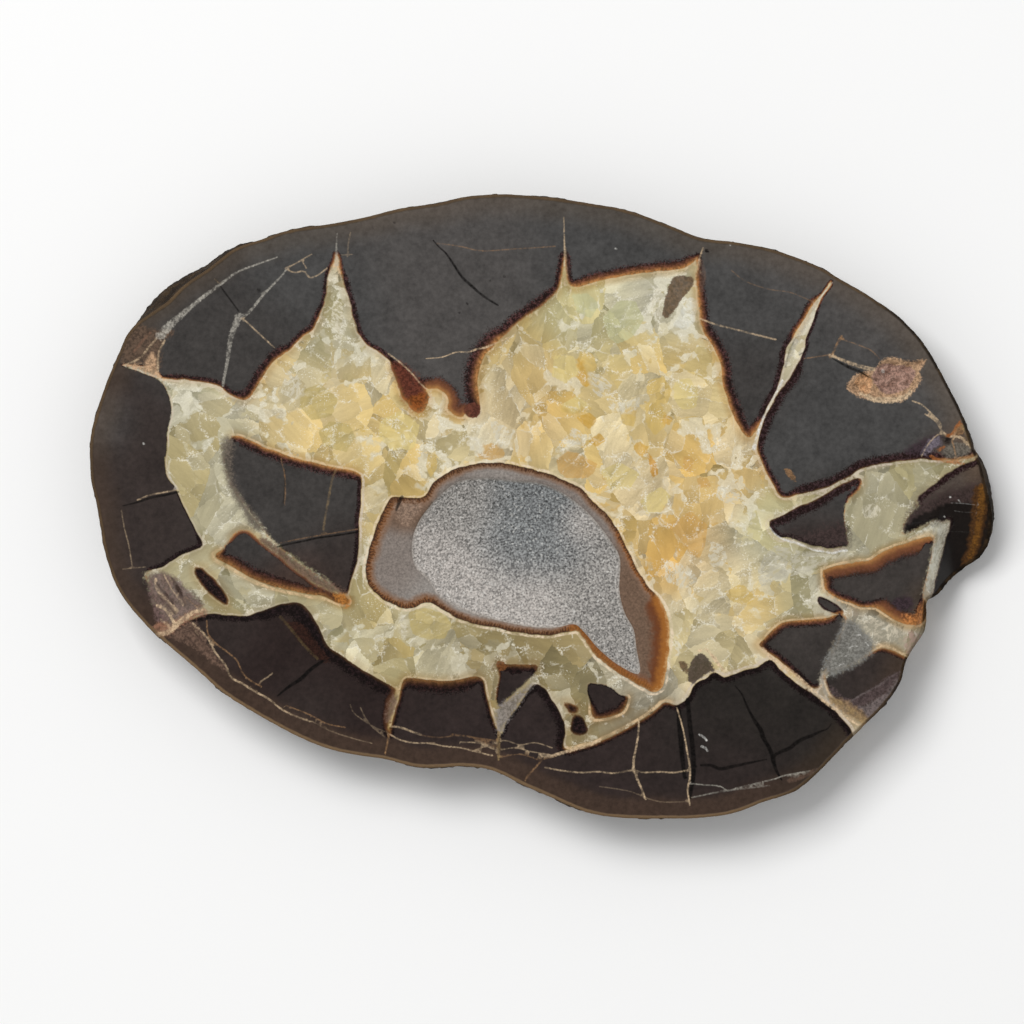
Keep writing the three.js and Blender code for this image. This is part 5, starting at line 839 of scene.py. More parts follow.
def patchField(points, rows, rounded):
    # signed depth in the patches together; tone and softness are the last patch's that holds the
    # point, or the nearest one's
    depth = np.full(len(points), -4.0)
    tone = np.tile(linear(finishes[rows[0][0]]), (len(points), 1))
    soft = np.full(len(points), 0.1)
    for finish, corners in rows:
        plain = np.array(corners, float)
        loop = smoothCurve(plain, True, 3) if rounded else resample(plain, True, step=0.5)
        here, _, _ = depthInside(points, loop)
        taken = (here > 0) | (here > depth)
        depth = np.maximum(here, depth)
        tone[taken] = linear(finishes[finish])
        soft[taken] = softness.get(finish, 0.12)
    return depth, tone, soft


hollow, pocket, chip = (smoothCurve(corners, True)
                        for corners in (hollowOutline, pocketOutline, chipOutline))
cavity = readOutline(cavityOutline)
islands = [readOutline(stretches) for stretches in fragmentOutlines]
core = readOutline(coreOutline)
veinSet = veinLines(veins, True)
crackSet = veinLines(cracks, False)
print("outlines read:", len(cavity[0]), "points round the cavity,", len(islands), "fragments inside it")


def edgeValues(points, outline, reach=4.0):
    # depth inside an outline, the values of its nearest stretch, and how far round it that lies
    loop, values = outline
    depth, k, t = depthInside(points, loop, reach)
    share = t[:, None]
    mixed = values[k] * (1 - share) + values[(k + 1) % len(values)] * share
    return depth, mixed, (k + t) * cut["outlineStep"]


def stoneFields(points):
    # everything the stone's colours need at each point of the cut, as plain arrays
    shaken = np.stack([ripple(points, cut["waverSize"], seed) for seed in (1, 2)], 1)
    at = points + shaken * cut["waver"]
    mud, stretch, _ = edgeValues(at, cavity, 90.0)
    mud = -mud
    closest = np.abs(mud)
    for island in islands:
        here, mixed, _ = edgeValues(at, island)
        near = np.abs(here) < closest
        stretch = np.where(near[:, None], mixed, stretch)
        closest = np.where(near, np.abs(here), closest)
        mud = np.maximum(mud, here)
    coreDepth, coreStretch, coreAlong = edgeValues(at, core, 6.0)
    calciteTone, weights = toneAt(points, calciteZones, calciteTones)
    band = ease(-points[:, 1], 6, 22) * (1 - ease(points[:, 0], 26, 38))
    fields = {
        "mud": np.clip(mud, -5, 5), "coreDepth": coreDepth, "coreAlong": coreAlong,
        "calciteTone": calciteTone, "mudTone": toneAt(points, mudZones, mudTones)[0],
        "whiteness": weights.T @ np.array([zone[1] for zone in calciteZones]),
        "coreTone": toneAt(points, coreZones, coreTones)[0], "band": band,
        "rindLine": (0.28 + 0.5 * band) * (1 - ease(points[:, 0], 42, 50)),
    }
    # a stretch's values, in the order that its outline gives them
    fields |= dict(zip(("rimWidth", "rimOrange", "lineWidth", "blur"), stretch.T))
    fields |= dict(zip(("coreRim", "coreOrange", "coreLine"), coreStretch.T))
    for name, lines in (("vein", veinSet), ("crack", crackSet)):
        edge, k, _ = nearest(points, *lines[:3])
        fields |= {name + "Edge": np.minimum(edge, 3), name + "Half": lines[2][k].mean(1),
                   name + "Show": lines[3][k, 0], name + "Dots": lines[3][k, 1], name + "Tone": lines[4][k]}
    for name, rows, rounded in (("patch", patches, True), ("shard", shards, False)):
        depth, tone, soft = patchField(at, rows, rounded)
        fields |= {name + "Depth": depth, name + "Tone": tone, name + "Soft": soft}
    return fields


# The shape of the slab

slab = {
    "thickness": 10.0,
    "faceStep": 0.46,  # spacing of the mesh on the polished face
    "fineStep": 0.24,  # spacing inside the broken pits
    "backStep": 0.85,
    "wallSteps": 680,  # points round the wall
    "wallRows": 15,
    "wallTop": 9.3,  # height of the last of those rows
    "rimHeights": (9.7, 9.9, 10, 10),  # the rows that round the wall over into the face
    "rimInset": 0.22,  # how much further in the last of them stands
    "solidPoints": 148,  # points round the plain solid, whose lumps these follow
    "wallRelief": 0.8,
    "lumpLength": 5.2,
    "lumpHeight": 2.9,
    "pitDepth": 0.12,  # fine pitting of the rind
    "hollowDepth": 2.6,
    "hollowReach": 1.2,
    "pocketDepth": 1.3,
    "chipDepth": 1.2,
    "hollowStep": 0.45,  # spacing of the mesh along the hollow's rim
    "secondLoop": 0.965,  # size of a second such line inside it, as a share of the rim's
    "breakBlend": 0.5,  # how far the broken right end's creases are rounded
    "thinnest": 0.6,
    "backDrift": 1.5,  # how far the bands on the back stand off from those on the face
    "driftSize": 22,
    "margin": 0.9999,  # keeps the mesh just inside the solid's box
}
# Where the wall leans out below the polished face: middle, reach along the wall, overhang
flares = [((-52.5, 29.5), 5, 1.8), ((-46, 34.5), 5, 0.8), ((-62, 2), 12, 0.5), ((62, 4), 7, 1.1)]
# Heights up the wall, with the shares of the relief and of the lean taken there, and the inset
wallLevels = [
    (0, 0, 0.25, 0.5), (0.45, 0.3, 0.12, 0.12), (2.3, 1, 0, 0), (4.4, 1, 0.05, 0), (6.5, 1, 0.35, 0),
    (8.5, 0.6, 0.8, 0), (9.7, 0.1, 1, 0), (10, 0.1, 1, 0.3),
]
# Planes that the broken right end falls away along: a point of the edge, its bearing, its slope
breakPlanes = {
    "shoulder": ((56, 3.2), 19, 13), "facet": ((56, 1.2), 19, 33), "step": ((52.9, -8), 78, 58),
}


def leanAt(points):
    # how far the polished face stands back from the outline: a bell curve round each flare
    return sum(overhang * np.exp(-((points - np.array(at)) ** 2).sum(1) / reach ** 2)
               for at, reach, overhang in flares)


def wallRings():
    # the outline stacked up the wall: out = relief of the rind - lean - inset, along its normal
    steps = slab["wallSteps"]
    ring = resample(smoothCurve(slabOutline, True, 24), True, count=steps)
    turn = np.roll(ring, -2, axis=0) - np.roll(ring, 2, axis=0)
    outward = np.stack([-turn[:, 1], turn[:, 0]], 1) / np.linalg.norm(turn, axis=1)[:, None]
    length = np.linalg.norm(np.roll(ring, -1, axis=0) - ring, axis=1).sum()
    around = int(round(length / slab["lumpLength"]))
    # the solid counts its points the other way round, from the one before the start
    first = (slab["solidPoints"] - 1) / slab["solidPoints"]
    u = ((first - np.arange(steps) / steps) % 1) * around
    lean = leanAt(ring)
    heights = np.concatenate([np.linspace(0, slab["wallTop"], slab["wallRows"]), slab["rimHeights"]])
    levels = np.array(wallLevels, float)
    calm = 1 - 0.7 * np.minimum(lean, 1)  # the rind is smoother where it leans out
    rings = []
    for row, height in enumerate(heights):
        relief, leanShare, inset = (np.interp(height, levels[:, 0], levels[:, k]) for k in (1, 2, 3))
        inset = inset + (slab["rimInset"] if row == len(heights) - 1 else 0)
        level = height / slab["lumpHeight"]
        large = lumps(u, np.full(steps, level + 3), around)
        small = lumps(u * 2, np.full(steps, level * 2 + 11), around * 2)
        pits = lumps(u * 9, np.full(steps, height * 2.1 + 31), around * 9)
        pits = pits + 0.6 * lumps(u * 17, np.full(steps, height * 3.7 + 57), around * 17)
        bump = calm * slab["wallRelief"] * relief * (np.minimum(large, 0.25) + 0.4 * small - 0.25)
        out = bump + slab["pitDepth"] * (0.15 + relief) * (pits - 0.6) - leanShare * lean - inset
        spot = ring + outward * out[:, None]
        rings.append(np.column_stack([spot, np.full(steps, height)]))
    return rings


def sunken(points, depth, reach):
    # depth below the hollow's rim: depth * (1 - exp(-distance inside the rim / reach))
    into, _, _ = depthInside(points, hollow, 12.0)
    return depth * (1 - np.exp(-np.maximum(into, 0) / reach))


def faceHeight(points):
    # the polished face at full thickness, less the hollow, the two rough pits and the broken end
    top = slab["thickness"] - sunken(points, slab["hollowDepth"], slab["hollowReach"])
    for pit, depth, seed in ((pocket, slab["pocketDepth"], 3), (chip, slab["chipDepth"], 5)):
        into, _, _ = depthInside(points, pit)
        rough = 0.75 + 0.4 * ripple(points, 1.3, seed) + 0.35 * ripple(points, 0.5, seed + 1)
        top = top - depth * ease(into, -0.1, 1.3) * rough
    falls = {}
    for name, (at, bearing, slope) in breakPlanes.items():
        turn = math.radians(bearing)
        past = (points[:, 0] - at[0]) * math.sin(turn) - (points[:, 1] - at[1]) * math.cos(turn)
        falls[name] = slab["thickness"] - math.tan(math.radians(slope)) * past
    soft = slab["breakBlend"]

    def lower(a, b):  # rounded minimum
        return 0.5 * (a + b - np.sqrt((a - b) ** 2 + soft ** 2))

    broken = -lower(-lower(falls["shoulder"], falls["facet"]), -falls["step"])
    broken = broken + 0.07 * ripple(points, 1.6, 8) * ease(slab["thickness"] - broken, 0.1, 1)
    return np.maximum(lower(top, broken + 0.25 * soft), slab["thinnest"])


paving = {
    "ringGap": 0.12,  # a laid line stops this far from the ring
    "ringShare": 0.55,  # loose points keep this share of a step from the ring
    "lineShare": 0.4,  # and this share from a laid line
    "shake": 0.12,  # how far a loose point is moved, as a share of a step
    "pitGap": 0.05,
    "pitShake": 0.2,
}


def fillPoints(step, loop, keepOff, shake):
    # rows of points, every second row shifted by half a step, each moved a little, inside the loop
    rng = np.random.default_rng(seedNumber)
    low, high = loop.min(0), loop.max(0)
    rows = np.arange(low[1], high[1], step * 0.866)
    columns = np.arange(low[0], high[0], step)
    y, x = np.meshgrid(rows, columns, indexing="ij")
    x = x + (np.arange(len(rows)) % 2)[:, None] * step / 2
    points = np.stack([x.ravel(), y.ravel()], 1)
    points = points + rng.uniform(-shake, shake, points.shape) * step
    away, _, _ = nearest(points, loop)
    return points[inside(points, loop) & (away > keepOff)]


def paveFace(ring, step, chains, loops):
    # triangles over the area inside a ring, with edges laid along the given lines
    lines = [(chain, False) for chain in chains] + [(loop, True) for loop in loops]
    fixed, links = [ring], []
    count = len(ring)
    for chain, closed in lines:
        keep = inside(chain, ring)
        off, _, _ = nearest(chain, ring)
        keep &= off > paving["ringGap"]
        index = np.cumsum(keep) - 1 + count
        pairs = np.stack([index[:-1], index[1:]], 1)[keep[:-1] & keep[1:]]
        links.append(pairs)
        if closed and keep[0] and keep[-1]:
            links.append(np.array([[index[-1], index[0]]]))
        fixed.append(chain[keep])
        count += int(keep.sum())
    fill = fillPoints(step, ring, step * paving["ringShare"], paving["shake"])
    if lines:
        starts = np.vstack([chain[:-1] for chain, _ in lines])
        ends = np.vstack([chain[1:] for chain, _ in lines])
        away, _, _ = nearest(fill, starts, ends)
        fill = fill[away > step * paving["lineShare"]]
        for pit in (pocket, chip):
            fine = fillPoints(slab["fineStep"], pit, paving["pitGap"], paving["pitShake"])
            fill = np.vstack([fill[~inside(fill, pit)], fine])
    flat = np.vstack(fixed + [fill])
    edges = np.vstack(links).tolist() if links else []
    made = delaunay_2d_cdt(flat.tolist(), edges, [list(range(len(ring)))], 1, 1e-4)
    origin = np.array([min(sources) if sources else -1 for sources in made[3]])
    return np.array([tuple(point) for point in made[0]]), np.array(made[2]), origin


def sewRings(first, count, rows):
    # two triangles between each two neighbours of each two rings, which are `count` points each
    index = np.arange(count)
    after = (index + 1) % count
    faces = []
    for row in range(rows - 1):
        a, b = first + row * count + index, first + row * count + after
        faces += [np.stack([a, b + count, b], 1), np.stack([a, a + count, b + count], 1)]
    return np.vstack(faces)


def seatCap(flat, origin, ringStart, count, firstNew):
    # each paved point's place in the skin: the ring's own points first, then new ones
    onRing = (origin >= 0) & (origin < count)
    place = np.empty(len(flat), int)
    place[onRing] = ringStart + origin[onRing]
    place[~onRing] = firstNew + np.arange((~onRing).sum())
    return place, flat[~onRing]


def buildStone():
    # one closed skin: the paved face, the rings of the wall and the paved back, sewn by index
    rings = wallRings()
    steps = slab["wallSteps"]
    rim = resample(hollow, True, step=slab["hollowStep"])
    middle = np.array(hollowMiddle)
    loops = [rim, middle + (rim - middle) * slab["secondLoop"]]
    top, topFaces, topOrigin = paveFace(rings[-1][:, :2], slab["faceStep"], veinSet[5] + crackSet[5], loops)
    low, lowFaces, lowOrigin = paveFace(rings[0][:, :2], slab["backStep"], [], [])
    wall = np.vstack(rings)
    wall[-2 * steps:, 2] = faceHeight(wall[-2 * steps:, :2])
    for row in range(len(rings) - 2):
        here = wall[row * steps:(row + 1) * steps]
        here[:, 2] = np.minimum(here[:, 2], wall[-2 * steps:-steps, 2] - 0.05 * (len(rings) - 2 - row))
    # the caps stand on the wall's own last and first rings
    placeTop, new = seatCap(top, topOrigin, len(wall) - steps, steps, len(wall))
    topPoints = np.column_stack([new, faceHeight(new)])
    placeLow, new = seatCap(low, lowOrigin, 0, steps, len(wall) + len(topPoints))
    lowPoints = np.column_stack([new, np.zeros(len(new))])
    vertices = np.vstack([wall, topPoints, lowPoints])

    sides = sewRings(0, steps, len(rings))
    upper = upward(vertices, placeTop[topFaces])
    under = upward(vertices, placeLow[lowFaces])[:, ::-1]
    faces = np.vstack([sides, upper, under])
    part = np.concatenate([np.full(len(sides), 0), np.full(len(upper), 1), np.full(len(under), 2)])
    return vertices, faces, part


def upward(vertices, triangles):
    # triangles turned so that they face up
    a, b, c = (vertices[triangles[:, k], :2] for k in range(3))
    turned = (b[:, 0] - a[:, 0]) * (c[:, 1] - a[:, 1]) - (b[:, 1] - a[:, 1]) * (c[:, 0] - a[:, 0]) < 0
    triangles = triangles.copy()
    triangles[turned] = triangles[turned][:, ::-1]
    return triangles


def makeObject(name, vertices, faces, fit, shift):
    # vertices * fit + shift, where fit keeps the curved outline inside the solid's box
    mesh = bpy.data.meshes.new(name)
    mesh.from_pydata(((vertices * (fit, fit, 1) + shift) * metre).tolist(), [], faces.tolist())
    mesh.update()
    piece = bpy.data.objects.new(name, mesh)
    bpy.context.scene.collection.objects.link(piece)
    return piece


def giveAttributes(mesh, fields):
    # one number or one colour for each point of the mesh
    for name, values in fields.items():
        if values.ndim == 1:
            kind, key = "FLOAT", "value"
        else:
            kind, key = "FLOAT_COLOR", "color"
            values = np.hstack([values, np.ones((len(values), 1))])
        layer = mesh.attributes.new(name, kind, "POINT")
        layer.data.foreach_set(key, values.astype(np.float32).ravel())


def makeStone():
    # the skin, fitted into the solid's box, with everything its colours need stored on its points
    vertices, faces, part = buildStone()
    low, high = (np.array(corner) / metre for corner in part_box("nodule"))
    own = vertices[:, :2].min(0), vertices[:, :2].max(0)
    fit = slab["margin"] * min(((high - low)[:2] / (own[1] - own[0])).min(), 1)
    shift = np.array([*((low + high)[:2] / 2 - fit * (own[0] + own[1]) / 2), 0])
    print("stone:", len(vertices), "vertices,", len(faces), "triangles, fit", round(fit, 5))
    piece = makeObject("noduleSlab", vertices, faces, fit, shift)
    piece.data.shade_smooth()
    # the sawn back shows the same bands a slab's thickness further in, so they stand a little off
    depth = vertices[:, 2] / slab["thickness"]
    drift = np.stack([ripple(vertices[:, :2], slab["driftSize"], seed) for seed in (4, 6)], 1)
    fields = stoneFields(vertices[:, :2] + drift * slab["backDrift"] * (1 - depth)[:, None])
    fromEdge, _, _ = nearest(vertices[:, :2], smoothCurve(slabOutline, True))
    fields["fromEdge"] = np.clip(fromEdge - leanAt(vertices[:, :2]), 0, 12)
    polish = np.zeros(len(vertices))
    polish[np.unique(faces[part == 1])] = 1
    polish[:slab["wallSteps"] * (slab["wallRows"] + len(slab["rimHeights"]) - 1)] = 0
    pits = sum(ease(depthInside(vertices[:, :2], pit)[0], -0.15, 0.25) for pit in (pocket, chip))
    fields["wall"] = 1 - polish
    fields["polish"] = polish * (1 - 0.9 * np.clip(pits, 0, 1))
    fields["back"] = (vertices[:, 2] < 0.01).astype(float)
    giveAttributes(piece.data, fields)
    return piece, fit, shift


crust = {
    "round": 600,
    "step": 0.13,  # spacing of its mesh
    "grain": 0.33,  # size of one crystal
    "tip": 0.13,  # height of a crystal over its valley
    "dip": 1.5,  # how far the crust sinks at its middle
    "dipReach": 3.2,
    "lip": 0.06,  # how far it starts below the face
    "rimEase": 0.35,  # the crystals grow to their full height over this distance from the rim
    "swell": 0.05,  # gentle lumps under the crystals
    "floorShares": (0.985, 0.93, 0.8, 0.5),  # rings of its under side
    "sink": 0.02,  # how far that is sunk into the stone
}


def crystals(points, grain, seed):
    # the highest of the six-sided pyramids that stand on a shaken grid: tip - slope * six-sided radius
    cell = np.floor(points / grain)
    best = np.full(len(points), -9.0)
    for di in (-1, 0, 1):
        for dj in (-1, 0, 1):
            i, j = cell[:, 0] + di + 500, cell[:, 1] + dj + 500
            x = (cell[:, 0] + di + 0.1 + 0.8 * scatter(i, j + seed)) * grain
            y = (cell[:, 1] + dj + 0.1 + 0.8 * scatter(i + 7777, j + seed)) * grain
            turn = scatter(i + 313, j + seed) * math.pi / 3
            dx, dy = points[:, 0] - x, points[:, 1] - y
            across = [np.abs(dx * np.cos(turn + k * math.pi / 3) + dy * np.sin(turn + k * math.pi / 3))
                      for k in range(3)]
            radius = np.maximum(np.maximum(across[0], across[1]), across[2]) / grain
            tall = 0.55 + 0.45 * scatter(i + 91, j + 17 + seed)
            best = np.maximum(best, tall - 1.1 * radius)
    return best


def makeCrust(fit, shift):
    # the crust's upper side is sunk as the hollow is but less deep, with crystals standing on it; its
    # under side follows the hollow's floor in rings: middle + (rim - middle) * share
    steps = crust["round"]
    rim = resample(hollow, True, count=steps)
    middle = np.array(hollowMiddle)
    flat, topFaces, origin = paveFace(rim[::-1], crust["step"], [], [])
    into, _, _ = depthInside(flat, rim, 12.0)
    edge = ease(into, 0, crust["rimEase"])
    stand = crystals(flat, crust["grain"], 3) + 0.5 * crystals(flat, crust["grain"] * 0.6, 9)
    top = (slab["thickness"] - crust["lip"] - sunken(flat, crust["dip"], crust["dipReach"])
           + crust["tip"] * edge * (stand - 0.9) + crust["swell"] * edge * ripple(flat, 2.6, 12))
    upper = np.column_stack([flat, top])
    around = np.empty(steps, int)  # the paved points that lie on the rim, in the rim's order
    onRim = np.flatnonzero((origin >= 0) & (origin < steps))
    around[steps - 1 - origin[onRim]] = onRim

    shares = np.array(crust["floorShares"])
    floor = (middle + (rim[None] - middle) * shares[:, None, None]).reshape(-1, 2)
    depth = sunken(floor, slab["hollowDepth"], slab["hollowReach"])
    lower = np.column_stack([floor, slab["thickness"] - depth - crust["sink"]])
    bottom = np.array([[*middle, slab["thickness"] - slab["hollowDepth"] - crust["sink"]]])
    vertices = np.vstack([upper, lower, bottom])

    index = np.arange(steps)
    after = (index + 1) % steps
    start = len(upper)
    last = start + (len(shares) - 1) * steps
    faces = [np.stack([around[index], start + index, start + after], 1),
             np.stack([around[index], start + after, around[after]], 1),
             sewRings(start, steps, len(shares)),
             np.stack([last + after, last + index, np.full(steps, len(vertices) - 1)], 1)]
    # the outline runs clockwise, so these faces are turned over
    faces = np.vstack([np.vstack(faces)[:, ::-1], upward(vertices, topFaces)])
    print("crust:", len(vertices), "vertices,", len(faces), "triangles")
    piece = makeObject("crystalCrust", vertices, faces, fit, shift)
    # the crystals' tone by place, which carries the hollow's painted shade
    tone, _ = toneAt(vertices[:, :2], crustShadeZones, crustShadeTones)
    giveAttributes(piece.data, {"into": np.concatenate([into, np.zeros(len(lower) + 1)]), "crustShadedTone": tone})
    return piece


# Materials

# Numbers in the functions below are millimetres, or shares and noise values from 0 to 1
tints = {
    "sugar": (224, 219, 198), "frost": (238, 233, 216),
    "lowerBand": (66, 51, 42), "rindEdge": (134, 104, 78),
    "lineCream": (202, 188, 170), "lineAmber": (214, 184, 144),
    "rimOrange": (160, 112, 64), "rimBrown": (110, 68, 44), "rimBlack": (28, 13, 11),
    "plumSpeck": (70, 50, 52), "rustSpeck": (92, 58, 56),
    "coreLine": (228, 208, 180), "coreSpeck": (128, 102, 84),
    "combDark": (66, 42, 28), "combBrown": (112, 80, 55), "combAmber": (146, 92, 48),
    "bandPale": (196, 152, 100), "bandOrange": (152, 96, 42), "bandRust": (104, 60, 34),
    # the rind's own dark browns, made darker still as painted shade of the wall
    "rindDarkAndShade": (26, 19, 12), "rindBrownAndShade": (60, 46, 29), "wallLine": (140, 114, 84),
    "sawn": (150, 146, 138), "glint": (228, 226, 220), "dust": (150, 140, 130),
}


def paint(name):
    # a tint as linear light
    return tuple(linear(tints[name]).tolist())


class Wire:
    # one output of a node; + - * and / send it through a Math or a Vector Math node
    def __init__(self, socket):
        self.socket = socket
        self.wide = socket.type != "VALUE"

    def __add__(self, other):
        return maths("ADD", self, other)

    def __sub__(self, other):
        return maths("SUBTRACT", self, other)

    def __rsub__(self, other):
        return maths("SUBTRACT", other, self)

    def __mul__(self, other):
        return maths("MULTIPLY", self, other)

    def __truediv__(self, other):
        return maths("DIVIDE", self, other)

    def __rtruediv__(self, other):
        return maths("DIVIDE", other, self)

    __radd__ = __add__
    __rmul__ = __mul__


def startMaterial(name):
    # a new material without nodes; the functions below add to its tree
    global tree
    material = bpy.data.materials.new(name)
    material.use_nodes = True
    tree = material.node_tree
    tree.nodes.clear()
    return material


def plug(value, socket):
    # a wire is linked to the socket, and a plain value is set on it
    if isinstance(value, Wire):
        tree.links.new(value.socket, socket)
    elif socket.type == "RGBA" and len(value) == 3:
        socket.default_value = (*value, 1.0)
    else:
        socket.default_value = value


def node(kind, inputs, out=0, **settings):
    # a node with its settings, its inputs set or linked, and one of its outputs
    made = tree.nodes.new("ShaderNode" + kind)
    for name, value in settings.items():
        setattr(made, name, value)
    for key, value in inputs.items():
        plug(value, made.inputs[key])
    return Wire(made.outputs[out])


def maths(operation, first, second):
    # a Math node for two numbers, a Vector Math node for two vectors or colours, or for one and a scale
    wide = [isinstance(value, tuple) or getattr(value, "wide", False) for value in (first, second)]
    if not any(wide):
        return node("Math", {0: first, 1: second}, operation=operation)
    if all(wide):
        return node("VectorMath", {0: first, 1: second}, operation=operation)
    if wide[1]:
        first, second = second, first
    return node("VectorMath", {0: first, "Scale": second}, operation="SCALE")


def dot(first, second):
    return node("VectorMath", {0: first, 1: second}, out="Value", operation="DOT_PRODUCT")


def highest(first, second):
    return node("Math", {0: first, 1: second}, operation="MAXIMUM")


def held(value):
    # kept between 0 and 1
    return node("Clamp", {0: value})


def sine(value):
    return node("Math", {0: value}, operation="SINE")


def blend(first, second, share):
    # first where the share is 0, second where it is 1
    return node("Mix", {0: share, 6: first, 7: second}, out=2, data_type="RGBA")


def fade(value, low, high, fromValue=0.0, toValue=1.0):
    # smooth step from fromValue at low to toValue at high
    return node("MapRange", {0: value, 1: low, 2: high, 3: fromValue, 4: toValue},
                interpolation_type="SMOOTHSTEP")


def noise(at, size, detail=2.0, rough=0.5, out=0):
    # soft noise around 0.5, one lump per `size`
    return node("TexNoise", {"Vector": at, "Scale": 1 / size, "Detail": detail, "Roughness": rough}, out=out)


def cells(at, size, out, feature="F1"):
    # one output of a pattern of cells, each about `size` across
    return node("TexVoronoi", {"Vector": at, "Scale": 1 / size}, out=out, feature=feature)


def split(colour):
    channels = node("SeparateColor", {0: colour}).socket.node.outputs
    return [Wire(channel) for channel in channels]


def read(name):
    # a number stored on the mesh
    return node("Attribute", {}, out="Fac", attribute_name=name)


def readTone(name):
    # a colour stored on the mesh
    return node("Attribute", {}, out="Color", attribute_name=name)


def millimetres():
    # the piece's own coordinates, in millimetres
    return node("TexCoord", {}, out="Object") * (1 / metre)


def spun(at, share):
    # coordinates turned about the vertical by a share of a whole turn
    return node("VectorRotate", {"Vector": at, "Angle": share * (2 * math.pi)}, rotation_type="Z_AXIS")


def turned(at, angle, stretch):
    # coordinates turned about the vertical and stretched, so that cells come out long
    return node("Mapping", {"Vector": at, "Rotation": (0, 0, math.radians(angle)), "Scale": stretch})


def surface(material, roughness, specular, colour, normal=None):
    # the material's one shader, with the same roughness or specular level all over where it is a number
    shader = node("BsdfPrincipled", {"Base Color": colour, "Roughness": roughness,
                                     "Specular IOR Level": specular})
    if normal is not None:
        plug(normal, shader.socket.node.inputs["Normal"])
    end = tree.nodes.new("ShaderNodeOutputMaterial")
    tree.links.new(shader.socket, end.inputs["Surface"])
    return material


stoneLook = {
    "crystalSize": 5.6,
    "chipSize": 2.3,
    "drift": 1.5,  # how far the crystals' edges bend, and how ragged they are
    "ragged": 0.6,
    "grain": 0.25,
    "gloss": 0.08,
    "bumpStrength": 0.5,
    "bumpHeight": 0.0004,
}


def cleavage(at, size):
    # angular cells: two random numbers each, a slope across each, which serves as painted facet shade and as
    # bump height, and the distance to its edge
    random = cells(at, size, "Color")
    one, two, _ = split(random)
    offset = (at - cells(at, size, "Position")) * (1 / size)
    return one, two, dot(offset, random - (0.5, 0.5, 0.5)), cells(at, size, "Distance", "DISTANCE_TO_EDGE")


def calciteColour(at):
    # crystals of two sizes lie on a sugary pale ground: each has its own tone, a painted shade gradient
    # from side to side as if its facet were tilted to the light, and a ragged edge, and the chips and
    # splinters inside it run its own way
    look = stoneLook
    half = (0.5, 0.5, 0.5)
    bend = noise(at, 4.5, 2.0, 0.5, "Color") - half
    rag = (noise(at, 0.8, 3.0, 0.7, "Color") - half) * look["ragged"]
    moved = turned(at + (rag + bend * look["drift"]), 25, (1, 0.8, 1))
    bigOne, bigTwo, bigFacetShade, bigEdge = cleavage(moved, look["crystalSize"])
    own = spun(at + rag, bigOne)
    one, two, slope, edge = cleavage(turned(own, 0, (1, 0.66, 1)), look["chipSize"])
    splinter = noise(turned(own, 0, (1, 0.2, 1)), 0.6, 3.0, 0.6)
    grain = noise(at, look["grain"], 3.0, 0.65)

    tone = readTone("calciteTone")
    whiteness = read("whiteness")
    ground = blend(tone, paint("sugar"), held(whiteness * 0.5 + 0.3))
    ground = ground * (grain * 0.35 + splinter * 0.5 + 0.56)

    def crystal(first, second, facetShade, depth):
        # one crystal's colour: from pale through the place's own tone to honey or olive, with painted facet
        # shade across it
        body = blend(tone, tone * (1.0, 0.91, 0.68), fade(first, 0.55, 0.9))
        body = blend(tone * (0.90, 0.89, 0.76), body, fade(second, 0.15, 0.5))
        body = blend(ground, body, fade(first, 0.15, 0.35, 0.35, 1.0))
        return body * (facetShade * depth + second * 0.24 + splinter * 0.42 + grain * 0.14 + 0.56)

    softer = fade(noise(at, 1.9), 0.42, 0.62, 0.015, 0.14)
    shake = noise(at, 0.5, 3.0, 0.7) * 0.16 - 0.08
    # the crystals touch, but for places where the ground shows between them
    apart = fade(noise(at, 4.0, 3.0, 0.6) + whiteness * 0.34, 0.60, 0.80, -0.18, 0.24)
    chips = fade(edge + shake - apart * 0.7, 0.0, softer, 0.0, 0.85)
    colour = blend(ground, crystal(one, two, slope, 0.85), chips)
    # the big crystals, with painted facet shade across each and their chips' painted facet shade on top
    body = blend(crystal(bigOne, bigTwo, bigFacetShade, 0.65), ground, fade(one, 0.62, 0.95, 0.0, 0.45))
    body = body * (slope * 0.40 + two * 0.16 + 0.93)
    colour = blend(colour, body, fade(bigEdge + shake - apart, 0.0, softer, 0.0, 0.9))

    # single shards of another tone
    into = read("shardDepth") + noise(at, 0.7, 3.0, 0.7) * 0.6 - 0.3
    broken = fade(noise(turned(own, 0, (1, 0.5, 1)), 0.5, 3.0, 0.7), 0.42, 0.56)
    full = held((broken - 1.0) * read("shardSoft") * 1.5 + 1.0)
    # painted facet shade across the shard
    shardTone = readTone("shardTone") * (slope * 0.35 + splinter * 0.45 + 0.72)
    colour = blend(colour, shardTone, fade(into, -0.05, 0.1, 0.0, 0.8) * full)

    # white cracks between the chips, clusters of white flecks, and frost that clings to the edges
    thin = fade(edge, 0.0, 0.05, 0.5, 0.0) * fade(noise(at, 1.4, 3.0), 0.5, 0.66)
    fleck = fade(grain, 0.56, 0.66) * fade(noise(at, 2.4, 4.0, 0.6) + whiteness * 0.22, 0.6, 0.74)
    frost = fade(edge + noise(at, 0.45, 3.0, 0.7) * 0.5 - 0.25, 0.0, 0.12, 0.7, 0.0)
    frost = frost * fade(noise(at, 3.0, 3.0, 0.6) + whiteness * 0.2, 0.58, 0.7) * fade(grain, 0.42, 0.58)
    colour = blend(colour, paint("frost"), highest(highest(thin, frost), fleck * 0.75))
    # the same slopes also go out as bump height
    return colour, bigFacetShade + slope


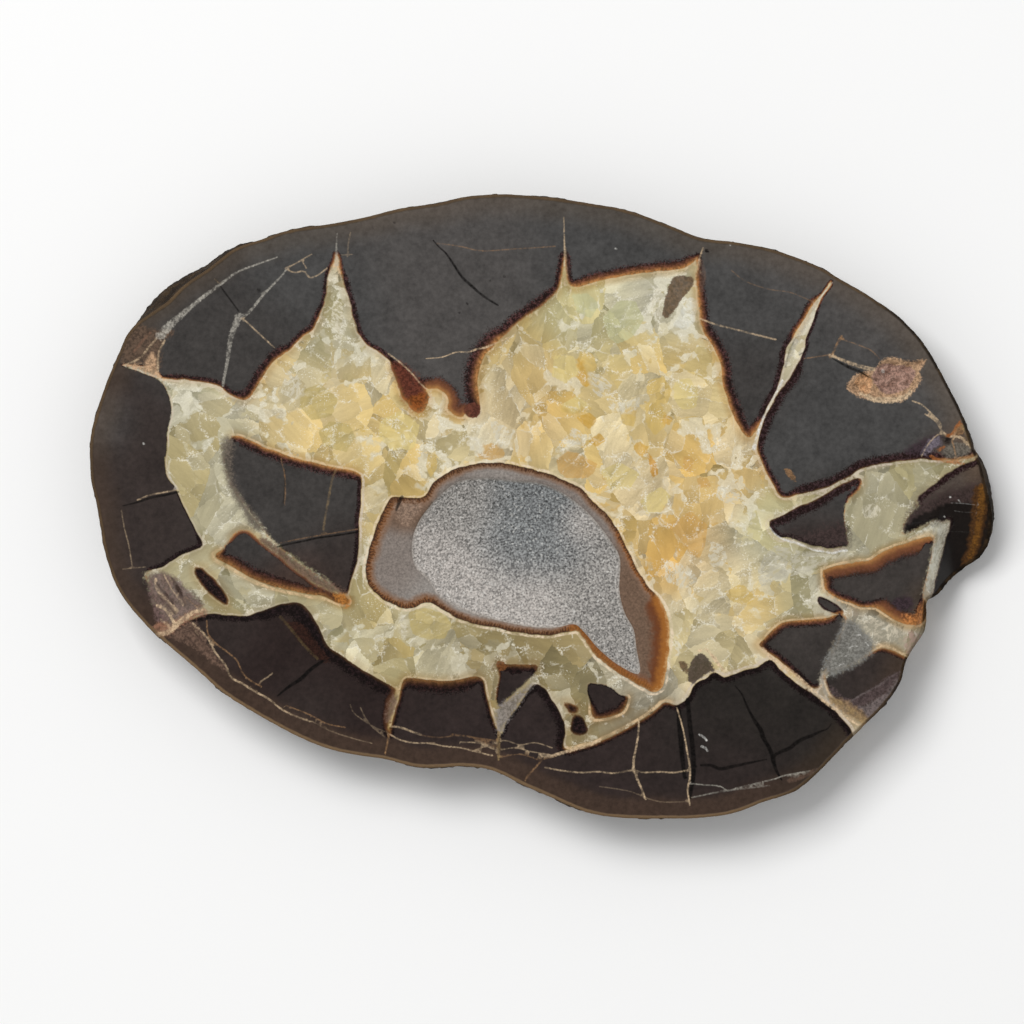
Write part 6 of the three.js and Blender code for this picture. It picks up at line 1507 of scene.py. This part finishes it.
def mudColour(at):
    # fine-grained mudstone: a tone by place, fine speckle and faint mottles, an olive zone inside
    # the rind and a thin tan line at its very edge
    speck = noise(at, 0.7, 4.0, 0.7)
    mottle = noise(at, 3.4, 4.0, 0.6)
    colour = readTone("mudTone") * (speck * 1.2 + mottle * 0.9 - 0.05)
    fromEdge = read("fromEdge")
    edge = fromEdge + mottle * 1.6 - 0.8
    warm = colour * (1.12, 1.03, 0.92) + (0.016, 0.009, 0.004)
    colour = blend(colour, warm, fade(edge, 0.6, 4.5, 0.8, 0.0))
    # a narrow browner band along the lower side
    lowerBand = read("band") * fade(edge, 2.2, 3.3, 0.7, 0.0)
    colour = blend(colour, (speck * 1.5 + 0.25) * paint("lowerBand"), lowerBand)
    rind = fromEdge + noise(at, 0.7, 3.0) * 0.9 - 0.45
    return blend(colour, paint("rindEdge"), read("rindLine") * fade(rind, 0.12, 0.42, 0.75, 0.0))


def overLine(colour, depth, line, speck, patchy, tone):
    # the thin pale line just outside an edge, stronger in some places than in others
    away = node("Math", {0: depth + line * 0.4 + 0.06}, operation="ABSOLUTE")
    half = line * 0.3 + 0.12
    share = fade(away, half * 0.3, half, 1.0, 0.0) * fade(line, 0.03, 0.35, 0.0, 0.9)
    share = share * fade(speck, 0.34, 0.58, 0.3, 1.0) * fade(patchy, 0.36, 0.58, 0.3, 1.0)
    return blend(colour, tone, share)


def mudRim(at, grit, clump, mud, calcite):
    # mudstone over calcite: outside the edge the calcite darkens and turns warm, then a pale line;
    # inside it a brown part, then a plum-black part that breaks up into dots before the mudstone
    depth, rim, orange, line, blur = map(read, ("mud", "rimWidth", "rimOrange", "lineWidth", "blur"))
    shake = grit * 0.7 + clump * 0.6 - 0.65
    half = blur * 0.6 + 0.08
    over = fade(depth + shake * (blur * 2.4 + 0.22), half * -1.0, half)
    glow = fade(depth, -1.3, -0.3) * fade(rim, 0.15, 0.7) * held(orange * 0.95 + 0.25)
    colour = blend(calcite, calcite * (0.77, 0.64, 0.48), glow)
    lineTone = blend(paint("lineCream"), paint("lineAmber"), fade(orange, 0.1, 0.5))
    colour = overLine(colour, depth, line, grit, noise(at, 1.7), lineTone)

    # the rim is darker where the mudstone is darker
    shade = fade(split(readTone("mudTone"))[1], 0.012, 0.05, 0.3, 1.0)
    t = (depth + shake * rim * 0.45) / highest(rim, 0.05)
    light = blend(paint("rimOrange"), paint("rimBrown"), fade(t, 0.0, 0.5))
    dotted = fade(orange, 0.66, 0.74, 0.4, 0.15)
    light = light * (fade(grit, 0.38, 0.62, 1.0 - dotted, dotted + 1.0) * fade(shade, 0.3, 0.9, 0.42, 1.0))
    specks = blend(paint("plumSpeck"), paint("rustSpeck"), fade(orange, 0.06, 0.25))
    dark = blend(paint("rimBlack"), specks, fade(grit, 0.44, 0.7)) * shade
    band = blend(light, dark, fade(t - (orange * 1.2 - 0.1), -0.4, 0.3))
    dots = t + noise(at, 0.2, 1.0) * 1.2 - 0.6
    faded = blend(band, mud, highest(fade(dots, 0.75, 1.25), fade(t, 1.2, 1.6)))
    return blend(colour, faded, over), over


def coreRim(at, grit, clump, inside, outside):
    # the grey core over calcite: a pale line, then a dark comb of fibres or an orange band, then
    # brown specks that thin out into the grey
    depth, rim, orange = map(read, ("coreDepth", "coreRim", "coreOrange"))
    edge = depth + clump * 0.3 - 0.15
    colour = overLine(outside, edge, read("coreLine"), grit, noise(at, 1.4), paint("coreLine"))
    t = (depth + (grit * 0.8 + clump * 1.2 - 1.0) * rim * 0.5) / highest(rim, 0.05)
    # the comb's teeth stand across the outline: a sine of the way along it
    tooth = sine((read("coreAlong") + clump * 1.2) * 15.0) + grit * 5.0 - 2.5
    fibre = blend(paint("combBrown"), paint("combAmber"), fade(orange, 0.3, 0.7))
    comb = blend(paint("combDark"), fibre, fade(t * 2.6 + tooth * 0.5 - 0.9, -0.8, 1.2))
    brown = (grit * 1.2 + 0.4) * paint("coreSpeck")
    plain = blend(comb, brown, fade(t + tooth * 0.08, 0.5, 0.95))
    rust = blend(paint("bandPale"), paint("bandOrange"), fade(t, -0.05, 0.25))
    rust = blend(rust, paint("bandRust"), fade(t, 0.3, 0.9))
    band = blend(plain, rust, fade(orange, 0.55, 0.85))
    return blend(colour, blend(band, inside, fade(t, 0.8, 1.6)), fade(edge, -0.06, 0.08))


def patchOn(at, grit, colour):
    # patches of other stuff: each starts where its depth, shaken by fine noise, is above zero
    soft = read("patchSoft")
    shaken = read("patchDepth") + (grit - 0.5) * (soft * 3.0 + 0.3)
    streak = noise(turned(at, 20, (1, 0.3, 1)), 0.8, 3.0, 0.6)
    tone = readTone("patchTone") * (fade(grit, 0.36, 0.64, 0.3, 1.1) + streak * 0.7)
    return blend(colour, tone, fade(shaken, soft * -1.0, soft, 0.0, 0.9))


def lineOn(at, colour, name, breaks, faintest):
    # a vein or crack: strongest on its middle line, thinning to its sides, broken up by fine noise
    half = highest(read(name + "Half"), 0.06)
    speck = noise(at, 0.3, 3.0, 0.7)
    share = speck * breaks - read(name + "Edge") / half - breaks / 2
    soft = 0.07 / half
    dots = fade(noise(at, 0.34, 1.0), 0.4, 0.6, -0.75, 0.3)
    fainter = held(fade(noise(at, 1.7, 2.0, 0.6), 0.38, 0.6, faintest, 1.0) + dots * read(name + "Dots"))
    mask = fade(share, soft * -1.0, soft + 0.3) * fainter * read(name + "Show")
    return blend(colour, (speck * 2.2 - 0.1) * readTone(name + "Tone"), mask)


def stoneMaterial():
    # calcite under mudstone under the core, then patches and lines, then the rind and the sawn back
    material = startMaterial("polishedStone")
    at = millimetres()
    grit = noise(at, 0.34, 3.0, 0.7)
    clump = noise(at, 0.9, 2.0, 0.6)
    # the calcite's colour, painted facet shade included, and the facets' slopes for the bump
    calcite, slope = calciteColour(at)

    # the grey core: granular, with faint bands that follow its outline
    wave = sine((read("coreDepth") + noise(at, 3.2)) * 9.0) * 0.03 + 0.97
    grey = readTone("coreTone") * wave * (noise(at, 0.3, 3.0, 0.7) * 1.6 + 0.2)

    colour, mudMask = mudRim(at, grit, clump, mudColour(at), calcite)
    colour = coreRim(at, grit, clump, grey, colour)
    colour = patchOn(at, grit, colour)
    colour = lineOn(at, colour, "crack", 0.6, 0.85)
    colour = lineOn(at, colour, "vein", 1.2, 0.5)

    # rough rind on the wall, its dark browns partly its own colour and partly painted shade of the wall,
    # with a tan line under the face; sawn dullness on the back
    polish, back = read("polish"), read("back")
    rind = blend(paint("rindDarkAndShade"), paint("rindBrownAndShade"), fade(noise(at, 1.8, 4.0, 0.6), 0.42, 0.66))
    rind = rind * (noise(at, 0.4, 3.0, 0.7) * 1.4 + 0.3)
    height = dot(at, (0, 0, 1))
    rind = blend(rind, paint("wallLine"), fade(height, 9.35, 9.75) * read("rindLine"))
    colour = blend(colour, rind, held(read("wall") - back) * (mudMask * 0.4 + 0.5))
    colour = blend(colour, blend(colour * 0.92, paint("sawn"), 0.14), back)

    # relief: facets in the calcite, grit on the wall
    facets = slope * (1.0 - mudMask) * 0.6
    rough = noise(at, 0.5, 4.0, 0.65) * (polish * -1.2 + 1.25)
    bump = node("Bump", {"Strength": stoneLook["bumpStrength"], "Distance": stoneLook["bumpHeight"],
                         "Height": rough + facets})
    roughness = noise(at, 0.5) * 0.12 + 0.75 - polish * 0.45
    return surface(material, roughness, stoneLook["gloss"], colour, bump)


def crustMaterial():
    # crystal grains, each lighter or darker, partly by its own tone and partly as painted light and shade of
    # its tiny facets, a few with a painted glint, and dusty where the crust starts at the rim
    material = startMaterial("crystalCrust")
    at = millimetres()
    grainOne, grainTwo, _ = split(cells(at, 0.24, "Color"))
    # tone by place, with the hollow's painted shade in it
    tone = readTone("crustShadedTone")
    # painted light and shade on the grains, mixed with their own tone
    light = fade(noise(at, 0.3, 2.0, 0.6), 0.36, 0.64, -0.5, 0.5) + grainOne * 0.6 - 0.3
    light = light * fade(split(tone)[1], 0.18, 0.4, 1.0, 0.7) + 1.0
    # a few grains get a painted glint
    colour = blend(tone * highest(light, 0.12), paint("glint"), fade(grainTwo, 0.93, 0.97, 0.0, 0.35))
    colour = blend(colour, paint("dust"), fade(read("into"), 0.0, 0.5, 0.6, 0.0))
    return surface(material, 0.5, 0.3, colour)


# The pieces

stone, fit, shift = makeStone()
stone.data.materials.append(stoneMaterial())
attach(stone, "root")
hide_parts("nodule")

crystalCrust = makeCrust(fit, shift)
crystalCrust.data.materials.append(crustMaterial())
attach(crystalCrust, "root")
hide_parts("druse")
print("pieces made")


# Floor, lights and camera

studio = {
    "cameraHeight": 1.2,
    "cameraCentre": (-4.1, -0.75),
    "fieldWide": 140.3,  # millimetres across the picture, at the polished face
    "skyStrength": 0.5,
    "lampPower": 21.0,
    "lampSize": 0.9,  # these are metres, as the camera's height is
    "lampPlace": (-0.6, 0.75, 1.5),
    "floorHalf": 0.8,
    "floorColour": (0.93, 0.93, 0.925),
}


def makeStudio():
    # a square floor, an even white sky, one square lamp aimed at the stone, and a camera straight above
    side = studio["floorHalf"]
    mesh = bpy.data.meshes.new("floor")
    corners = [(-side, -side, 0), (side, -side, 0), (side, side, 0), (-side, side, 0)]
    mesh.from_pydata(corners, [], [(0, 1, 2, 3)])
    floor = bpy.data.objects.new("floor", mesh)
    bpy.context.scene.collection.objects.link(floor)
    mesh.materials.append(surface(startMaterial("paleFloor"), 0.8, 0.5, studio["floorColour"]))

    world = bpy.data.worlds.new("softSky")
    bpy.context.scene.world = world
    world.use_nodes = True
    sky = world.node_tree.nodes["Background"]
    sky.inputs["Color"].default_value = (1.0, 1.0, 1.0, 1)
    sky.inputs["Strength"].default_value = studio["skyStrength"]

    lamp = bpy.data.lights.new("softbox", "AREA")
    lamp.shape = "RECTANGLE"
    lamp.size = studio["lampSize"]
    lamp.size_y = studio["lampSize"]
    lamp.energy = studio["lampPower"]
    lampObject = bpy.data.objects.new("softbox", lamp)
    lampObject.location = studio["lampPlace"]
    aim = -lampObject.location.normalized()
    lampObject.rotation_euler = aim.to_track_quat("-Z", "Y").to_euler()
    bpy.context.scene.collection.objects.link(lampObject)

    lens = bpy.data.cameras.new("camera")
    camera = bpy.data.objects.new("camera", lens)
    camera.location = (*(studio["cameraCentre"] + shift[:2]) * metre, studio["cameraHeight"])
    lens.sensor_fit = "HORIZONTAL"
    aboveFace = studio["cameraHeight"] - slab["thickness"] * metre
    lens.angle = 2 * math.atan(studio["fieldWide"] * metre / 2 / aboveFace)
    bpy.context.scene.collection.objects.link(camera)
    bpy.context.scene.camera = camera
    bpy.context.scene.view_settings.view_transform = "Standard"


makeStudio()
print("studio set")
